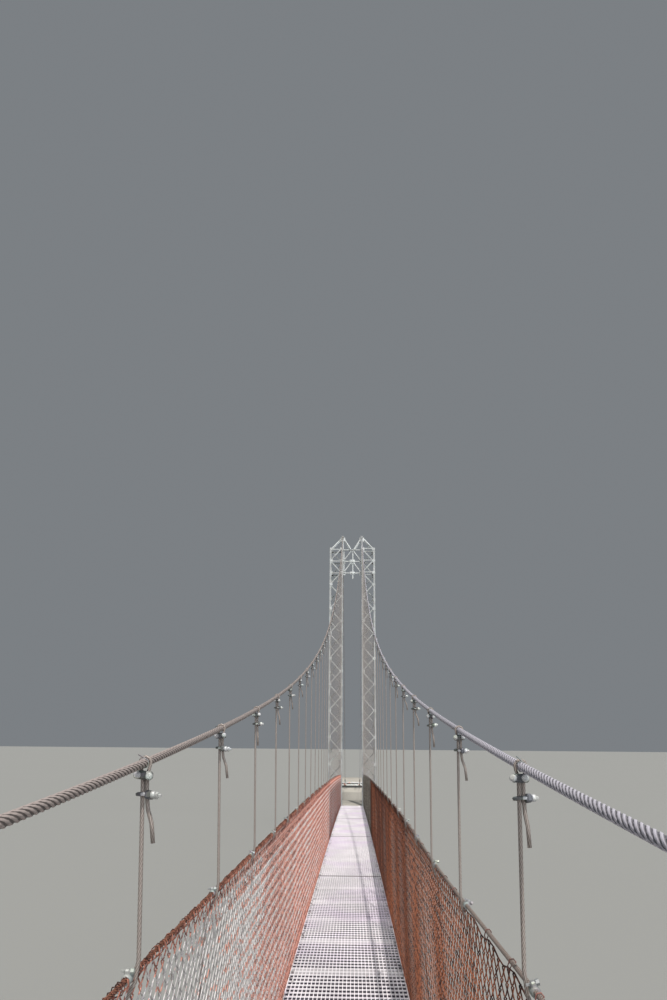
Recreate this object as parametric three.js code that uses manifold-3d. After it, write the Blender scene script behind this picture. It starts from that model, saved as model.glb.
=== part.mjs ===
// A cable suspension footbridge over a gully, as a one-tenth scale model.
// Two thick wire cables run over lattice towers to anchor blocks at each end.
// Wire hangers every metre carry a narrow grating deck between two mesh fences.
//
// Sizes are those of the full-size bridge in metres. METRE turns them into the model's millimetres.
// The bridge runs along Y, Z is up, and the origin is on the floor under the middle of the span.

import * as THREE from 'three';
import { mergeVertices } from 'three/addons/utils/BufferGeometryUtils.js';
import Module from 'manifold-3d';

const wasm = await Module();
wasm.setup();

const METRE = 100;

// Clearance between pieces that touch
const GAP = 0.003;

// Span and deck
const HALF_SPAN = 38;
const DECK_WIDTH = 0.86;
const DECK_END_HEIGHT = 1.0;
const DECK_CAMBER = 0.6;
const DECK_END = 37.69;
const GRATING_DEPTH = 0.03;
const PANEL_LENGTH = 6;
const FIRST_JOINT = -37;
const JOINT_GAP = 0.006;
const PANEL_STEP = 3;

// Floor frame under the grating
const BEAM_LENGTH = 0.9;
const BEAM_WIDTH = 0.05;
const BEAM_DEPTH = 0.09;
const RAIL_INNER_X = 0.445;
const RAIL_OUTER_X = 0.485;
const RAIL_RISE = 0.02;
const RAIL_DEPTH = 0.12;
const END_BEAM_Y = 37.64;
const RAIL_STEP = 4;

// Main cables and hangers
const CABLE_X = 0.41;
const CABLE_RADIUS = 0.0095;
const CABLE_ABOVE_DECK = 1.22;
const CABLE_SAG = 9.17;
const CABLE_SIDES = 6;
const SADDLE_RADIUS = 0.6;
const SADDLE_STEPS = 6;
const BACKSTAY_ANGLE = THREE.MathUtils.degToRad(39);
const BACKSTAY_END_HEIGHT = 1.25;
const HANGER_RADIUS = 0.006;
const HANGER_SIDES = 3;
const HANGER_STEP = 1;
const LAST_HANGER = 37;
const HANGER_FOOT_X = 0.46;

// Hand ropes and mesh fences
const ROPE_RADIUS = 0.008;
const ROPE_HEIGHT = 1.14;
const ROPE_SIDES = 6;
const ROPE_STEP = 2;
const FENCE_THICKNESS = 0.008;
const FENCE_FOOT_X = 0.437;
const FENCE_END = 37.698;
const FENCE_BAR = 0.03;
const OPENINGS_ALONG = 12;
const OPENINGS_UP = 2;
const FENCE_JOINTS = [-FENCE_END, -22, -7.33, 7.33, 22, FENCE_END];

// Lattice towers
const INNER_CHORD_X = 0.43;
const LEG_SIZE = 0.5;
const LEG_HEIGHT = 10.33;
const LEG_BAYS = 20;
const CHORD_SIZE = 0.07;
const TOP_BAR_SIZE = 0.04;
const BRACE_RADIUS = 0.025;
const BRACE_SIDES = 3;
const BRACE_SPREAD = 0.04;
const BASE_PLATE_SIZE = 0.6;
const BASE_PLATE_DEPTH = 0.03;

// Portal brace and saddle peaks on the towers
const PORTAL_BAR = 0.045;
const PORTAL_BAY = 0.51;
const PORTAL_STUB = 0.23;
const GUSSET_DEPTH = 0.03;
const TOP_GUSSET = { drop: 0.03, width: 0.2, height: 0.1 };
const MIDDLE_GUSSET = { drop: 0, width: 0.22, height: 0.2 };
const LOW_GUSSET = { drop: -0.02, width: 0.18, height: 0.12 };
const PEAK_BAR = 0.06;
const PEAK_OUTER_FOOT_X = 0.9;
const PEAK_INNER_FOOT_X = 0.09;
const SADDLE_WIDTH = 0.1;
const SADDLE_DEPTH = 0.04;
const SHOE_STEPS = 8;

// Concrete abutments and anchor blocks
const ABUTMENT_FRONT = 36.9;
const ABUTMENT_STEP = 37.7;
const ABUTMENT_BACK = 41;
const ABUTMENT_WIDTH = 2.5;
const BLOCK_WIDTH = 1.9;
const BLOCK_BACK = 53;
const BLOCK_SLOPE = 0.9;
const ANCHOR_BEAM_LENGTH = 1.3;
const ANCHOR_BEAM_WIDTH = 0.26;
const ANCHOR_BEAM_DEPTH = 0.12;

// Finishes
const steel = (name, color, roughness, metalness) =>
  new THREE.MeshStandardMaterial({ name, color, roughness, metalness });
const galvanised = () => steel('galvanised', 0xc0c3c2, 0.5, 0.6);
const grating = () => steel('grating', 0xd6d3d5, 0.55, 0.5);
const wireRope = () => steel('wire_rope', 0x857a6c, 0.65, 0.4);
const rustyRope = () => steel('rusty_rope', 0x84563d, 0.8, 0.2);
const paleMesh = () => steel('pale_mesh', 0xb39a8b, 0.7, 0.3);
const rustyMesh = () => steel('rusty_mesh', 0x7c4e3a, 0.8, 0.2);
const concrete = () => steel('concrete', 0xa7a298, 0.9, 0);

// Heights and side positions that follow from the sizes
const deckTop = (y) => DECK_END_HEIGHT + DECK_CAMBER * (1 - (y / HALF_SPAN) ** 2);
const frameTop = (y) => deckTop(y) - GRATING_DEPTH - GAP;
const railTop = (y) => frameTop(y) + RAIL_RISE;
const cableHeight = (y) => deckTop(0) + CABLE_ABOVE_DECK + CABLE_SAG * (y / HALF_SPAN) ** 2;
const cableSlope = (y) => (2 * CABLE_SAG * y) / HALF_SPAN ** 2;

function hangerX(y, z) {
  const rise = (z - railTop(y)) / (cableHeight(y) - railTop(y));
  return THREE.MathUtils.lerp(HANGER_FOOT_X, CABLE_X, rise);
}

function ropeX(y) {
  return hangerX(y, deckTop(y) + ROPE_HEIGHT) - HANGER_RADIUS - ROPE_RADIUS - GAP;
}

const towerTop = DECK_END_HEIGHT + LEG_HEIGHT;

// Where the span's curve meets the round saddle, found by stepping towards it
const SEARCH_STEPS = 8;
let saddleStart = HALF_SPAN;
for (let i = 0; i < SEARCH_STEPS; i += 1) {
  saddleStart = HALF_SPAN - SADDLE_RADIUS * Math.sin(Math.atan(cableSlope(saddleStart)));
}
const spanAngle = Math.atan(cableSlope(saddleStart));
const saddleCentre = cableHeight(saddleStart) - SADDLE_RADIUS * Math.cos(spanAngle);

// The straight backstay, from the saddle to the anchor beam
const stayStart = {
  y: HALF_SPAN + SADDLE_RADIUS * Math.sin(BACKSTAY_ANGLE),
  z: saddleCentre + SADDLE_RADIUS * Math.cos(BACKSTAY_ANGLE),
};
const stayLength = (stayStart.z - BACKSTAY_END_HEIGHT) / Math.sin(BACKSTAY_ANGLE);
const stayPoint = (along, across = 0) => [
  stayStart.y + along * Math.cos(BACKSTAY_ANGLE) + across * Math.sin(BACKSTAY_ANGLE),
  stayStart.z - along * Math.sin(BACKSTAY_ANGLE) + across * Math.cos(BACKSTAY_ANGLE),
];

// Geometry helpers
const vec = (x, y, z) => new THREE.Vector3(x, y, z).multiplyScalar(METRE);

function box(centre, size) {
  const [x, y, z] = centre;
  const geometry = new THREE.BoxGeometry(...size.map((s) => s * METRE));
  return geometry.translate(x * METRE, y * METRE, z * METRE);
}

// A straight bar of rectangular section between two points, its depth along the given side
function bar(from, to, width, depth, side) {
  const start = vec(...from);
  const end = vec(...to);
  const along = end.clone().sub(start);
  const length = along.length();
  along.normalize();
  const across = new THREE.Vector3(...side).cross(along).normalize();
  const normal = along.clone().cross(across);
  const frame = new THREE.Matrix4().makeBasis(across, normal, along);
  frame.setPosition(start.add(end).multiplyScalar(0.5));
  return new THREE.BoxGeometry(width * METRE, depth * METRE, length).applyMatrix4(frame);
}

// A straight rod of few sides between two points
function rod(from, to, radius, rodSides) {
  const start = vec(...from);
  const along = vec(...to).sub(start);
  const length = along.length();
  const middle = start.addScaledVector(along, 0.5);
  const turn = new THREE.Quaternion().setFromUnitVectors(new THREE.Vector3(0, 1, 0), along.normalize());
  const geometry = new THREE.CylinderGeometry(radius * METRE, radius * METRE, length, rodSides);
  return geometry.applyQuaternion(turn).translate(middle.x, middle.y, middle.z);
}

// A flat outline in the plane of the span, given as [y, z] points, made thick along X
function slab(outline, fromX, toX) {
  const shape = new THREE.Shape(outline.map(([y, z]) => new THREE.Vector2(y * METRE, z * METRE)));
  const depth = (toX - fromX) * METRE;
  const geometry = new THREE.ExtrudeGeometry(shape, { depth, bevelEnabled: false });
  const turn = new THREE.Matrix4().makeBasis(
    new THREE.Vector3(0, 1, 0),
    new THREE.Vector3(0, 0, 1),
    new THREE.Vector3(1, 0, 0),
  );
  return geometry.applyMatrix4(turn).translate(fromX * METRE, 0, 0);
}

// A line through given points whose steps fall on the points themselves
class RopeLine extends THREE.Curve {
  constructor(points) {
    super();
    this.points = points;
  }

  getPoint(t) {
    const last = this.points.length - 1;
    const index = Math.min(Math.floor(t * last + 1e-9), last - 1);
    return this.points[index].clone().lerp(this.points[index + 1], t * last - index);
  }

  getPointAt(u) {
    return this.getPoint(u);
  }

  getTangentAt(u) {
    const last = this.points.length - 1;
    const index = Math.round(u * last);
    const before = this.points[Math.max(index - 1, 0)];
    const after = this.points[Math.min(index + 1, last)];
    return after.clone().sub(before).normalize();
  }
}

function ropeAlong(points, radius, sides) {
  const corners = [];
  for (let i = 0; i < sides; i += 1) {
    const angle = (2 * Math.PI * (i + 0.5)) / sides;
    corners.push(new THREE.Vector2(Math.cos(angle), Math.sin(angle)).multiplyScalar(radius * METRE));
  }
  return new THREE.ExtrudeGeometry(new THREE.Shape(corners), {
    steps: points.length - 1,
    extrudePath: new RopeLine(points),
    bevelEnabled: false,
  });
}

function solidFrom(geometry) {
  const bare = geometry.clone();
  bare.deleteAttribute('normal');
  bare.deleteAttribute('uv');
  const merged = mergeVertices(bare);
  return new wasm.Manifold(new wasm.Mesh({
    numProp: 3,
    vertProperties: merged.attributes.position.array,
    triVerts: new Uint32Array(merged.index.array),
  }));
}

function geometryFrom(solid) {
  const mesh = solid.getMesh();
  const geometry = new THREE.BufferGeometry();
  geometry.setAttribute('position', new THREE.BufferAttribute(mesh.vertProperties, 3));
  geometry.setIndex(new THREE.BufferAttribute(mesh.triVerts, 1));
  geometry.computeVertexNormals();
  return geometry;
}

function joined(geometries) {
  return geometries.map(solidFrom).reduce((whole, piece) => whole.add(piece));
}

const bridge = new THREE.Group();
bridge.name = 'footbridge';

function addPiece(name, geometry, material) {
  const mesh = new THREE.Mesh(geometry, material);
  mesh.name = name;
  bridge.add(mesh);
}

const sides = [['left', -1], ['right', 1]];
const ends = [['near', -1], ['far', 1]];

// Places along the deck from one y to another, no more than a step apart, ends included
function stations(from, to, step) {
  const count = Math.ceil((to - from) / step);
  return Array.from({ length: count + 1 }, (_, i) => from + ((to - from) * i) / count);
}

// A strip of even depth that follows the camber of the deck
function camberedStrip(from, to, step, top, depth) {
  const along = stations(from, to, step);
  const upper = along.map((y) => [y, top(y)]);
  const lower = along.map((y) => [y, top(y) - depth]);
  return upper.concat(lower.reverse());
}

// Main cable from anchor to anchor, with the hangers that it carries
function cableLine() {
  const half = [];
  half.push(stayPoint(stayLength));
  for (let i = 0; i <= SADDLE_STEPS; i += 1) {
    const angle = THREE.MathUtils.lerp(BACKSTAY_ANGLE, -spanAngle, i / SADDLE_STEPS);
    half.push([
      HALF_SPAN + SADDLE_RADIUS * Math.sin(angle),
      saddleCentre + SADDLE_RADIUS * Math.cos(angle),
    ]);
  }
  for (let y = LAST_HANGER + HANGER_STEP / 2; y > 0; y -= HANGER_STEP) {
    if (y < saddleStart - HANGER_STEP / 2) {
      half.push([y, cableHeight(y)]);
    }
  }
  const otherHalf = half.map(([y, z]) => [-y, z]).reverse();
  return half.concat(otherHalf);
}

for (const [name, side] of sides) {
  const points = cableLine().map(([y, z]) => vec(side * CABLE_X, y, z));
  const pieces = [ropeAlong(points, CABLE_RADIUS, CABLE_SIDES)];
  for (let y = -LAST_HANGER; y <= LAST_HANGER; y += HANGER_STEP) {
    const foot = [side * HANGER_FOOT_X, y, railTop(y) + GAP];
    const head = [side * CABLE_X, y, cableHeight(y)];
    pieces.push(rod(foot, head, HANGER_RADIUS, HANGER_SIDES));
  }
  addPiece(`main_cable_${name}`, geometryFrom(joined(pieces)), wireRope());
}

// Hand ropes from tower to tower
const chordFace = HALF_SPAN - LEG_SIZE / 2 - CHORD_SIZE / 2;
for (const [name, side] of sides) {
  const ropeEnd = chordFace - GAP;
  const points = stations(-ropeEnd, ropeEnd, ROPE_STEP)
    .map((y) => vec(side * ropeX(y), y, deckTop(y) + ROPE_HEIGHT));
  const material = name === 'left' ? rustyRope() : wireRope();
  addPiece(`hand_rope_${name}`, ropeAlong(points, ROPE_RADIUS, ROPE_SIDES), material);
}

// Mesh fences: each roll is a thin leaning grid between the deck's edge and the hand rope
const FENCE_HEIGHT = ROPE_HEIGHT - ROPE_RADIUS - GAP + GRATING_DEPTH;

// Both edges of each bar of a grid that fills a length with so many openings
function barEdges(length, openings) {
  const pitch = (length - FENCE_BAR) / openings;
  return Array.from({ length: openings + 1 }, (_, i) => [i * pitch, i * pitch + FENCE_BAR]).flat();
}

// A grid of square bars between two skins of points, closed all round and open between the bars
function openGrid(columns, rows, point) {
  const vertices = [];
  const index = [];
  const at = (i, j, skin) => (i * rows + j) * 2 + skin;
  for (let i = 0; i < columns; i += 1) {
    for (let j = 0; j < rows; j += 1) {
      vertices.push(point(i, j, -1), point(i, j, 1));
    }
  }
  const quad = (a, b, c, d) => index.push(a, b, c, a, c, d);
  const wall = (a, b) => quad(at(...a, 0), at(...b, 0), at(...b, 1), at(...a, 1));
  const isSolid = (i, j) => i >= 0 && j >= 0 && i < columns - 1 && j < rows - 1
    && (i % 2 === 0 || j % 2 === 0);
  for (let i = 0; i < columns - 1; i += 1) {
    for (let j = 0; j < rows - 1; j += 1) {
      if (isSolid(i, j)) {
        quad(at(i, j, 1), at(i + 1, j, 1), at(i + 1, j + 1, 1), at(i, j + 1, 1));
        quad(at(i, j, 0), at(i, j + 1, 0), at(i + 1, j + 1, 0), at(i + 1, j, 0));
        if (!isSolid(i, j - 1)) wall([i, j], [i + 1, j]);
        if (!isSolid(i + 1, j)) wall([i + 1, j], [i + 1, j + 1]);
        if (!isSolid(i, j + 1)) wall([i + 1, j + 1], [i, j + 1]);
        if (!isSolid(i - 1, j)) wall([i, j + 1], [i, j]);
      }
    }
  }
  const geometry = new THREE.BufferGeometry().setFromPoints(vertices);
  geometry.setIndex(index);
  geometry.computeVertexNormals();
  return geometry;
}

function fenceGrid(from, to, side) {
  const along = barEdges(to - from, OPENINGS_ALONG);
  const up = barEdges(FENCE_HEIGHT, OPENINGS_UP);
  return openGrid(along.length, up.length, (i, j, skin) => {
    const y = from + along[i];
    const above = up[j] - GRATING_DEPTH;
    const rise = THREE.MathUtils.clamp(above / ROPE_HEIGHT, 0, 1);
    const x = side * THREE.MathUtils.lerp(FENCE_FOOT_X, ropeX(y), rise);
    return vec(x + (skin * FENCE_THICKNESS) / 2, y, deckTop(y) + above);
  });
}

for (const [name, side] of sides) {
  for (let i = 0; i + 1 < FENCE_JOINTS.length; i += 1) {
    const from = FENCE_JOINTS[i] + GAP / 2;
    const to = FENCE_JOINTS[i + 1] - GAP / 2;
    const material = name === 'left' ? paleMesh() : rustyMesh();
    addPiece(`fence_${name}_${i + 1}`, fenceGrid(from, to, side), material);
  }
}

// Grating deck in six metre panels, with a cut piece at each end
const deckJoints = [-DECK_END];
for (let y = FIRST_JOINT; y < DECK_END; y += PANEL_LENGTH) {
  deckJoints.push(y);
}
deckJoints.push(DECK_END);
for (let i = 0; i + 1 < deckJoints.length; i += 1) {
  const from = deckJoints[i] + JOINT_GAP / 2;
  const to = deckJoints[i + 1] - JOINT_GAP / 2;
  const outline = camberedStrip(from, to, PANEL_STEP, deckTop, GRATING_DEPTH);
  const number = String(i + 1).padStart(2, '0');
  addPiece(`deck_panel_${number}`, slab(outline, -DECK_WIDTH / 2, DECK_WIDTH / 2), grating());
}

// Floor frame: a cross beam at each pair of hangers, between two side rails
{
  const outline = camberedStrip(-DECK_END, DECK_END, RAIL_STEP, railTop, RAIL_DEPTH);
  const pieces = [
    slab(outline, -RAIL_OUTER_X, -RAIL_INNER_X),
    slab(outline, RAIL_INNER_X, RAIL_OUTER_X),
  ];
  const beams = [-END_BEAM_Y, END_BEAM_Y];
  for (let y = -LAST_HANGER; y <= LAST_HANGER; y += HANGER_STEP) {
    beams.push(y);
  }
  for (const y of beams) {
    pieces.push(box([0, y, frameTop(y) - BEAM_DEPTH / 2], [BEAM_LENGTH, BEAM_WIDTH, BEAM_DEPTH]));
  }
  addPiece('floor_frame', geometryFrom(joined(pieces)), galvanised());
}

// Tower legs: four chords with a zigzag of diagonals up each face and a square of bars on top
function towerLeg(side, end) {
  const near = INNER_CHORD_X;
  const far = INNER_CHORD_X + LEG_SIZE;
  const front = HALF_SPAN - LEG_SIZE / 2;
  const back = HALF_SPAN + LEG_SIZE / 2;
  const corners = [[near, front], [far, front], [far, back], [near, back]]
    .map(([x, y]) => [side * x, end * y]);
  const faceSides = [[0, 1, 0], [1, 0, 0], [0, 1, 0], [1, 0, 0]];
  const foot = DECK_END_HEIGHT + GAP;
  const bay = LEG_HEIGHT / LEG_BAYS;
  const centre = [side * (near + far) / 2, end * HALF_SPAN, foot + BASE_PLATE_DEPTH / 2];
  const pieces = [box(centre, [BASE_PLATE_SIZE, BASE_PLATE_SIZE, BASE_PLATE_DEPTH])];
  for (const [x, y] of corners) {
    pieces.push(box([x, y, (foot + towerTop) / 2], [CHORD_SIZE, CHORD_SIZE, towerTop - foot]));
  }
  corners.forEach((corner, face) => {
    const next = corners[(face + 1) % 4];
    const normal = faceSides[face];
    const topZ = towerTop - TOP_BAR_SIZE / 2;
    pieces.push(bar([...corner, topZ], [...next, topZ], TOP_BAR_SIZE, TOP_BAR_SIZE, normal));
    for (let level = 1; level <= LEG_BAYS; level += 1) {
      const z = topZ - (LEG_BAYS - level) * bay;
      const [low, high] = (level + face) % 2 ? [corner, next] : [next, corner];
      const brace = [[...low, z - bay + BRACE_SPREAD], [...high, z - BRACE_SPREAD]];
      pieces.push(rod(...brace, BRACE_RADIUS, BRACE_SIDES));
    }
  });
  return geometryFrom(joined(pieces));
}

for (const [endName, end] of ends) {
  for (const [name, side] of sides) {
    addPiece(`tower_leg_${endName}_${name}`, towerLeg(side, end), galvanised());
  }
}

// Portal brace between the legs at the top: two panels with a post and plates in the middle
function portalBrace(end) {
  const y = end * HALF_SPAN;
  const reach = INNER_CHORD_X - TOP_BAR_SIZE / 2 - GAP;
  const topZ = towerTop - PORTAL_BAR / 2;
  const levels = [topZ, topZ - PORTAL_BAY, topZ - 2 * PORTAL_BAY];
  const strut = (from, to) => bar(
    [from[0], y, from[1]],
    [to[0], y, to[1]],
    PORTAL_BAR,
    PORTAL_BAR,
    [0, 1, 0],
  );
  const gusset = (z, { drop, width, height }) => box([0, y, z - drop], [width, GUSSET_DEPTH, height]);
  const pieces = levels.map((z) => strut([-reach, z], [reach, z]));
  pieces.push(strut([0, levels[2] - PORTAL_STUB], [0, levels[0]]));
  const edge = reach - PORTAL_BAR / 2;
  for (const side of [-1, 1]) {
    pieces.push(strut([side * edge, levels[2]], [side * edge, levels[0]]));
    pieces.push(strut([0, levels[0]], [side * edge, levels[1]]));
    pieces.push(strut([0, levels[1]], [side * edge, levels[2]]));
  }
  pieces.push(gusset(levels[0], TOP_GUSSET));
  pieces.push(gusset(levels[1], MIDDLE_GUSSET));
  pieces.push(gusset(levels[2], LOW_GUSSET));
  return geometryFrom(joined(pieces));
}

for (const [name, end] of ends) {
  addPiece(`portal_brace_${name}`, portalBrace(end), galvanised());
}

// Saddle peaks: two sloping bars and a post under a round shoe that the cable lies on
function saddleShoe(side, end) {
  const outer = SADDLE_RADIUS - CABLE_RADIUS - GAP;
  const from = -spanAngle;
  const to = BACKSTAY_ANGLE;
  const arc = (radius) => Array.from({ length: SHOE_STEPS + 1 }, (_, i) => {
    const angle = THREE.MathUtils.lerp(from, to, i / SHOE_STEPS);
    return [end * (HALF_SPAN + radius * Math.sin(angle)), saddleCentre + radius * Math.cos(angle)];
  });
  const outline = arc(outer).concat(arc(outer - SADDLE_DEPTH).reverse());
  return slab(outline, side * CABLE_X - SADDLE_WIDTH / 2, side * CABLE_X + SADDLE_WIDTH / 2);
}

function saddlePeak(side, end) {
  const y = end * HALF_SPAN;
  const seat = towerTop + GAP;
  const apex = saddleCentre + SADDLE_RADIUS - CABLE_RADIUS - GAP - SADDLE_DEPTH;
  const below = seat - PEAK_BAR;
  const pieces = [saddleShoe(side, end)];
  for (const footX of [PEAK_OUTER_FOOT_X, CABLE_X, PEAK_INNER_FOOT_X]) {
    const foot = [side * footX, y, footX === CABLE_X ? below : seat];
    const head = [side * CABLE_X, y, apex];
    pieces.push(bar(foot, head, PEAK_BAR, PEAK_BAR, [0, 1, 0]));
    if (footX !== CABLE_X) {
      pieces.push(box([side * footX, y, seat], [2 * PEAK_BAR, PEAK_BAR, PEAK_BAR]));
    }
  }
  const room = 1;
  const underneath = solidFrom(box([side * CABLE_X, y, seat - room / 2], [2 * room, room, room]));
  return geometryFrom(joined(pieces).subtract(underneath));
}

for (const [endName, end] of ends) {
  for (const [name, side] of sides) {
    addPiece(`saddle_peak_${endName}_${name}`, saddlePeak(side, end), galvanised());
  }
}

// Concrete abutments: a low seat for the end of the deck and a step up to its level
for (const [name, end] of ends) {
  const seat = railTop(DECK_END) - RAIL_DEPTH - GAP;
  const outline = [
    [ABUTMENT_FRONT, 0],
    [ABUTMENT_BACK, 0],
    [ABUTMENT_BACK, DECK_END_HEIGHT],
    [ABUTMENT_STEP, DECK_END_HEIGHT],
    [ABUTMENT_STEP, seat],
    [ABUTMENT_FRONT, seat],
  ].map(([y, z]) => [end * y, z]);
  addPiece(`abutment_${name}`, slab(outline, -ABUTMENT_WIDTH / 2, ABUTMENT_WIDTH / 2), concrete());
}

// Anchor blocks with a sloping face square to the backstays, and the steel beam that lies on it
for (const [name, end] of ends) {
  const beamFront = stayLength + GAP;
  const beamBack = beamFront + ANCHOR_BEAM_DEPTH;
  const halfWidth = ANCHOR_BEAM_WIDTH / 2;
  const beam = [
    stayPoint(beamFront, -halfWidth),
    stayPoint(beamFront, halfWidth),
    stayPoint(beamBack, halfWidth),
    stayPoint(beamBack, -halfWidth),
  ].map(([y, z]) => [end * y, z]);
  addPiece(
    `anchor_beam_${name}`,
    slab(beam, -ANCHOR_BEAM_LENGTH / 2, ANCHOR_BEAM_LENGTH / 2),
    galvanised(),
  );
  const low = stayPoint(beamBack + GAP, -BLOCK_SLOPE / 2);
  const high = stayPoint(beamBack + GAP, BLOCK_SLOPE / 2);
  const block = [
    [low[0], 0],
    [BLOCK_BACK, 0],
    [BLOCK_BACK, high[1]],
    high,
    low,
  ].map(([y, z]) => [end * y, z]);
  addPiece(`anchor_block_${name}`, slab(block, -BLOCK_WIDTH / 2, BLOCK_WIDTH / 2), concrete());
}

export default bridge;
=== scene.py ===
"""The finish of a cable footbridge, laid out as an add-on: one operator for each group of pieces."""

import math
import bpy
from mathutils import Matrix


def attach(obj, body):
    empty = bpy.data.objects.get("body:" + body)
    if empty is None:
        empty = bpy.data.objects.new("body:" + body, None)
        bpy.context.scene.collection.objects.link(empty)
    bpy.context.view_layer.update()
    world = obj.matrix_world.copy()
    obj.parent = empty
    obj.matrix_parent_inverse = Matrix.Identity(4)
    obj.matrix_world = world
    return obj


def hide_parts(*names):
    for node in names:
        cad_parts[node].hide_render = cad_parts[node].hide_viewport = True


bl_info = {
    "name": "Cable Footbridge",
    "version": (1, 0, 0),
    "blender": (4, 5, 0),
    "location": "View3D > Sidebar > Footbridge",
    "description": "Ropes, mesh fences, grating deck, lattice towers and anchors of a cable footbridge",
    "category": "Object",
}

import bpy
import numpy as np
from bpy.props import FloatProperty, FloatVectorProperty, IntProperty, PointerProperty
from mathutils import Matrix, Vector

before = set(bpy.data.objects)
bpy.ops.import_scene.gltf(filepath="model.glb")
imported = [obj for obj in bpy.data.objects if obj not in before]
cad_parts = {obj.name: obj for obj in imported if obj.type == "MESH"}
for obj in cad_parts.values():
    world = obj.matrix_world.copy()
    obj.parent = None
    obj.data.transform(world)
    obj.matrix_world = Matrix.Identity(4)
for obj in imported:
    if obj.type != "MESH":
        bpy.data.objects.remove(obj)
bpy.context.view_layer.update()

# Sizes are those of the full-size bridge in metres, and the model is a tenth of that
TENTH = 0.1
BODY = "root"
SIDES = {"left": -1, "right": 1}
ENDS = {"near": -1, "far": 1}

# Span and deck, with the gap between a panel and its neighbour, and between pieces
HALF_SPAN = 38.0
DECK_WIDTH = 0.86
DECK_END_HEIGHT = 1.0
DECK_CAMBER = 0.6
DECK_END = 37.69
GRATING_DEPTH = 0.03
PANEL_LENGTH = 6.0
FIRST_JOINT = -37.0
JOINT_GAP = 0.006
GAP = 0.003
RAIL_INNER_X = 0.445
RAIL_OUTER_X = 0.485
RAIL_RISE = 0.02
RAIL_DEPTH = 0.12
END_BEAM_Y = 37.64

# Cables, hangers and hand ropes, with the radii that the solids have
CABLE_X = 0.41
CABLE_RADIUS = 0.0095
CABLE_ABOVE_DECK = 1.22
CABLE_SAG = 9.17
SADDLE_RADIUS = 0.6
BACKSTAY_ANGLE = math.radians(39)
BACKSTAY_END_HEIGHT = 1.25
STRANDS = 6
LAST_HANGER = 37
HANGER_FOOT_X = 0.46
CAD_ROPE_RADIUS = 0.008
CAD_HANGER_RADIUS = 0.006
ROPE_HEIGHT = 1.14
RIGHT_SLACK = 0.03
SLACK_PLACE = 8.8
SLACK_REACH = 1.7
FENCE_FOOT_X = 0.437
FENCE_END = 37.698
FENCE_SINK = 0.022
FENCE_HEIGHT = ROPE_HEIGHT + FENCE_SINK
HALF_ROWS = 34
FENCE_JOINTS = (-FENCE_END, -22.0, -7.33, 7.33, 22.0, FENCE_END)

# Towers
INNER_CHORD_X = 0.43
LEG_SIZE = 0.5
LEG_HEIGHT = 10.33
LEG_BAYS = 20
TOWER_TOP = DECK_END_HEIGHT + LEG_HEIGHT
CHORD_SIZE = 0.07


def tint(red, green, blue):
    """A colour given as 8-bit screen values, as the shader wants it."""
    return tuple(((v / 255 + 0.055) / 1.055) ** 2.4 if v > 10 else v / 3294.6 for v in (red, green, blue))


class BridgeSizes(bpy.types.PropertyGroup):
    """Sizes that a user would change, in metres of the full-size bridge."""

    cable_radius: FloatProperty(
        name="Cable radius", description="Radius of the main cables",
        default=CABLE_RADIUS, unit="LENGTH")
    cable_lay: FloatProperty(
        name="Cable lay", description="Length in which a strand goes once round",
        default=0.13, unit="LENGTH")
    hanger_radius: FloatProperty(
        name="Hanger radius", description="Radius of the wire rope hangers",
        default=0.0047, unit="LENGTH")
    rope_radius: FloatProperty(
        name="Hand rope radius", description="Radius of the hand ropes",
        default=0.0055, unit="LENGTH")
    mesh_width: FloatProperty(
        name="Mesh width", description="Width of one diamond of the fence mesh",
        default=0.0685, unit="LENGTH")
    wire_radius: FloatProperty(
        name="Mesh wire radius", description="Radius of the fence wire", default=0.002, unit="LENGTH")
    bar_pitch: FloatProperty(
        name="Bar pitch", description="Distance between the bars of the grating",
        default=0.0283, unit="LENGTH")
    cross_pitch: FloatProperty(
        name="Cross bar pitch", description="Distance between the cross bars of the grating",
        default=0.0937, unit="LENGTH")
    seed: IntProperty(
        name="Seed", description="Start value for all uneven shapes", default=7, min=0)


class BridgeColours(bpy.types.PropertyGroup):
    """Colours of the finishes."""

    zinc: FloatVectorProperty(
        name="Zinc", description="Galvanised steel", subtype="COLOR", default=tint(196, 199, 198))
    deck: FloatVectorProperty(
        name="Grating", description="Walked grating steel", subtype="COLOR", default=tint(247, 242, 246))
    cable: FloatVectorProperty(
        name="Cable", description="Weathered wire rope", subtype="COLOR", default=tint(204, 201, 212))
    left_cable: FloatVectorProperty(
        name="Left cable", description="Wire rope that has gone brown", subtype="COLOR",
        default=tint(180, 168, 164))
    rust: FloatVectorProperty(
        name="Rust", description="Bright rust", subtype="COLOR", default=tint(184, 122, 100))
    dark_rust: FloatVectorProperty(
        name="Dark rust", description="Old rust", subtype="COLOR", default=tint(62, 27, 19))
    golden_rust: FloatVectorProperty(
        name="Golden rust", description="Dry rust that the sun lights", subtype="COLOR",
        default=tint(160, 92, 58))
    wire: FloatVectorProperty(
        name="Fence wire", description="Weathered zinc of the fence wire", subtype="COLOR",
        default=tint(232, 226, 226))
    concrete: FloatVectorProperty(
        name="Concrete", description="Cast concrete", subtype="COLOR", default=tint(176, 171, 162))


def sizes():
    return bpy.context.scene.bridge_sizes


def colour_of(name):
    """One of the panel's colours."""
    return tuple(getattr(bpy.context.scene.bridge_colours, name))


# Lines of the bridge, which also take arrays of places
def deck_top(y):
    return DECK_END_HEIGHT + DECK_CAMBER * (1 - (y / HALF_SPAN) ** 2)


def frame_top(y):
    return deck_top(y) - GRATING_DEPTH - GAP


def rail_top(y):
    return frame_top(y) + RAIL_RISE


def cable_height(y):
    return deck_top(0) + CABLE_ABOVE_DECK + CABLE_SAG * (y / HALF_SPAN) ** 2


def cable_slope(y):
    return 2 * CABLE_SAG * y / HALF_SPAN**2


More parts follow.
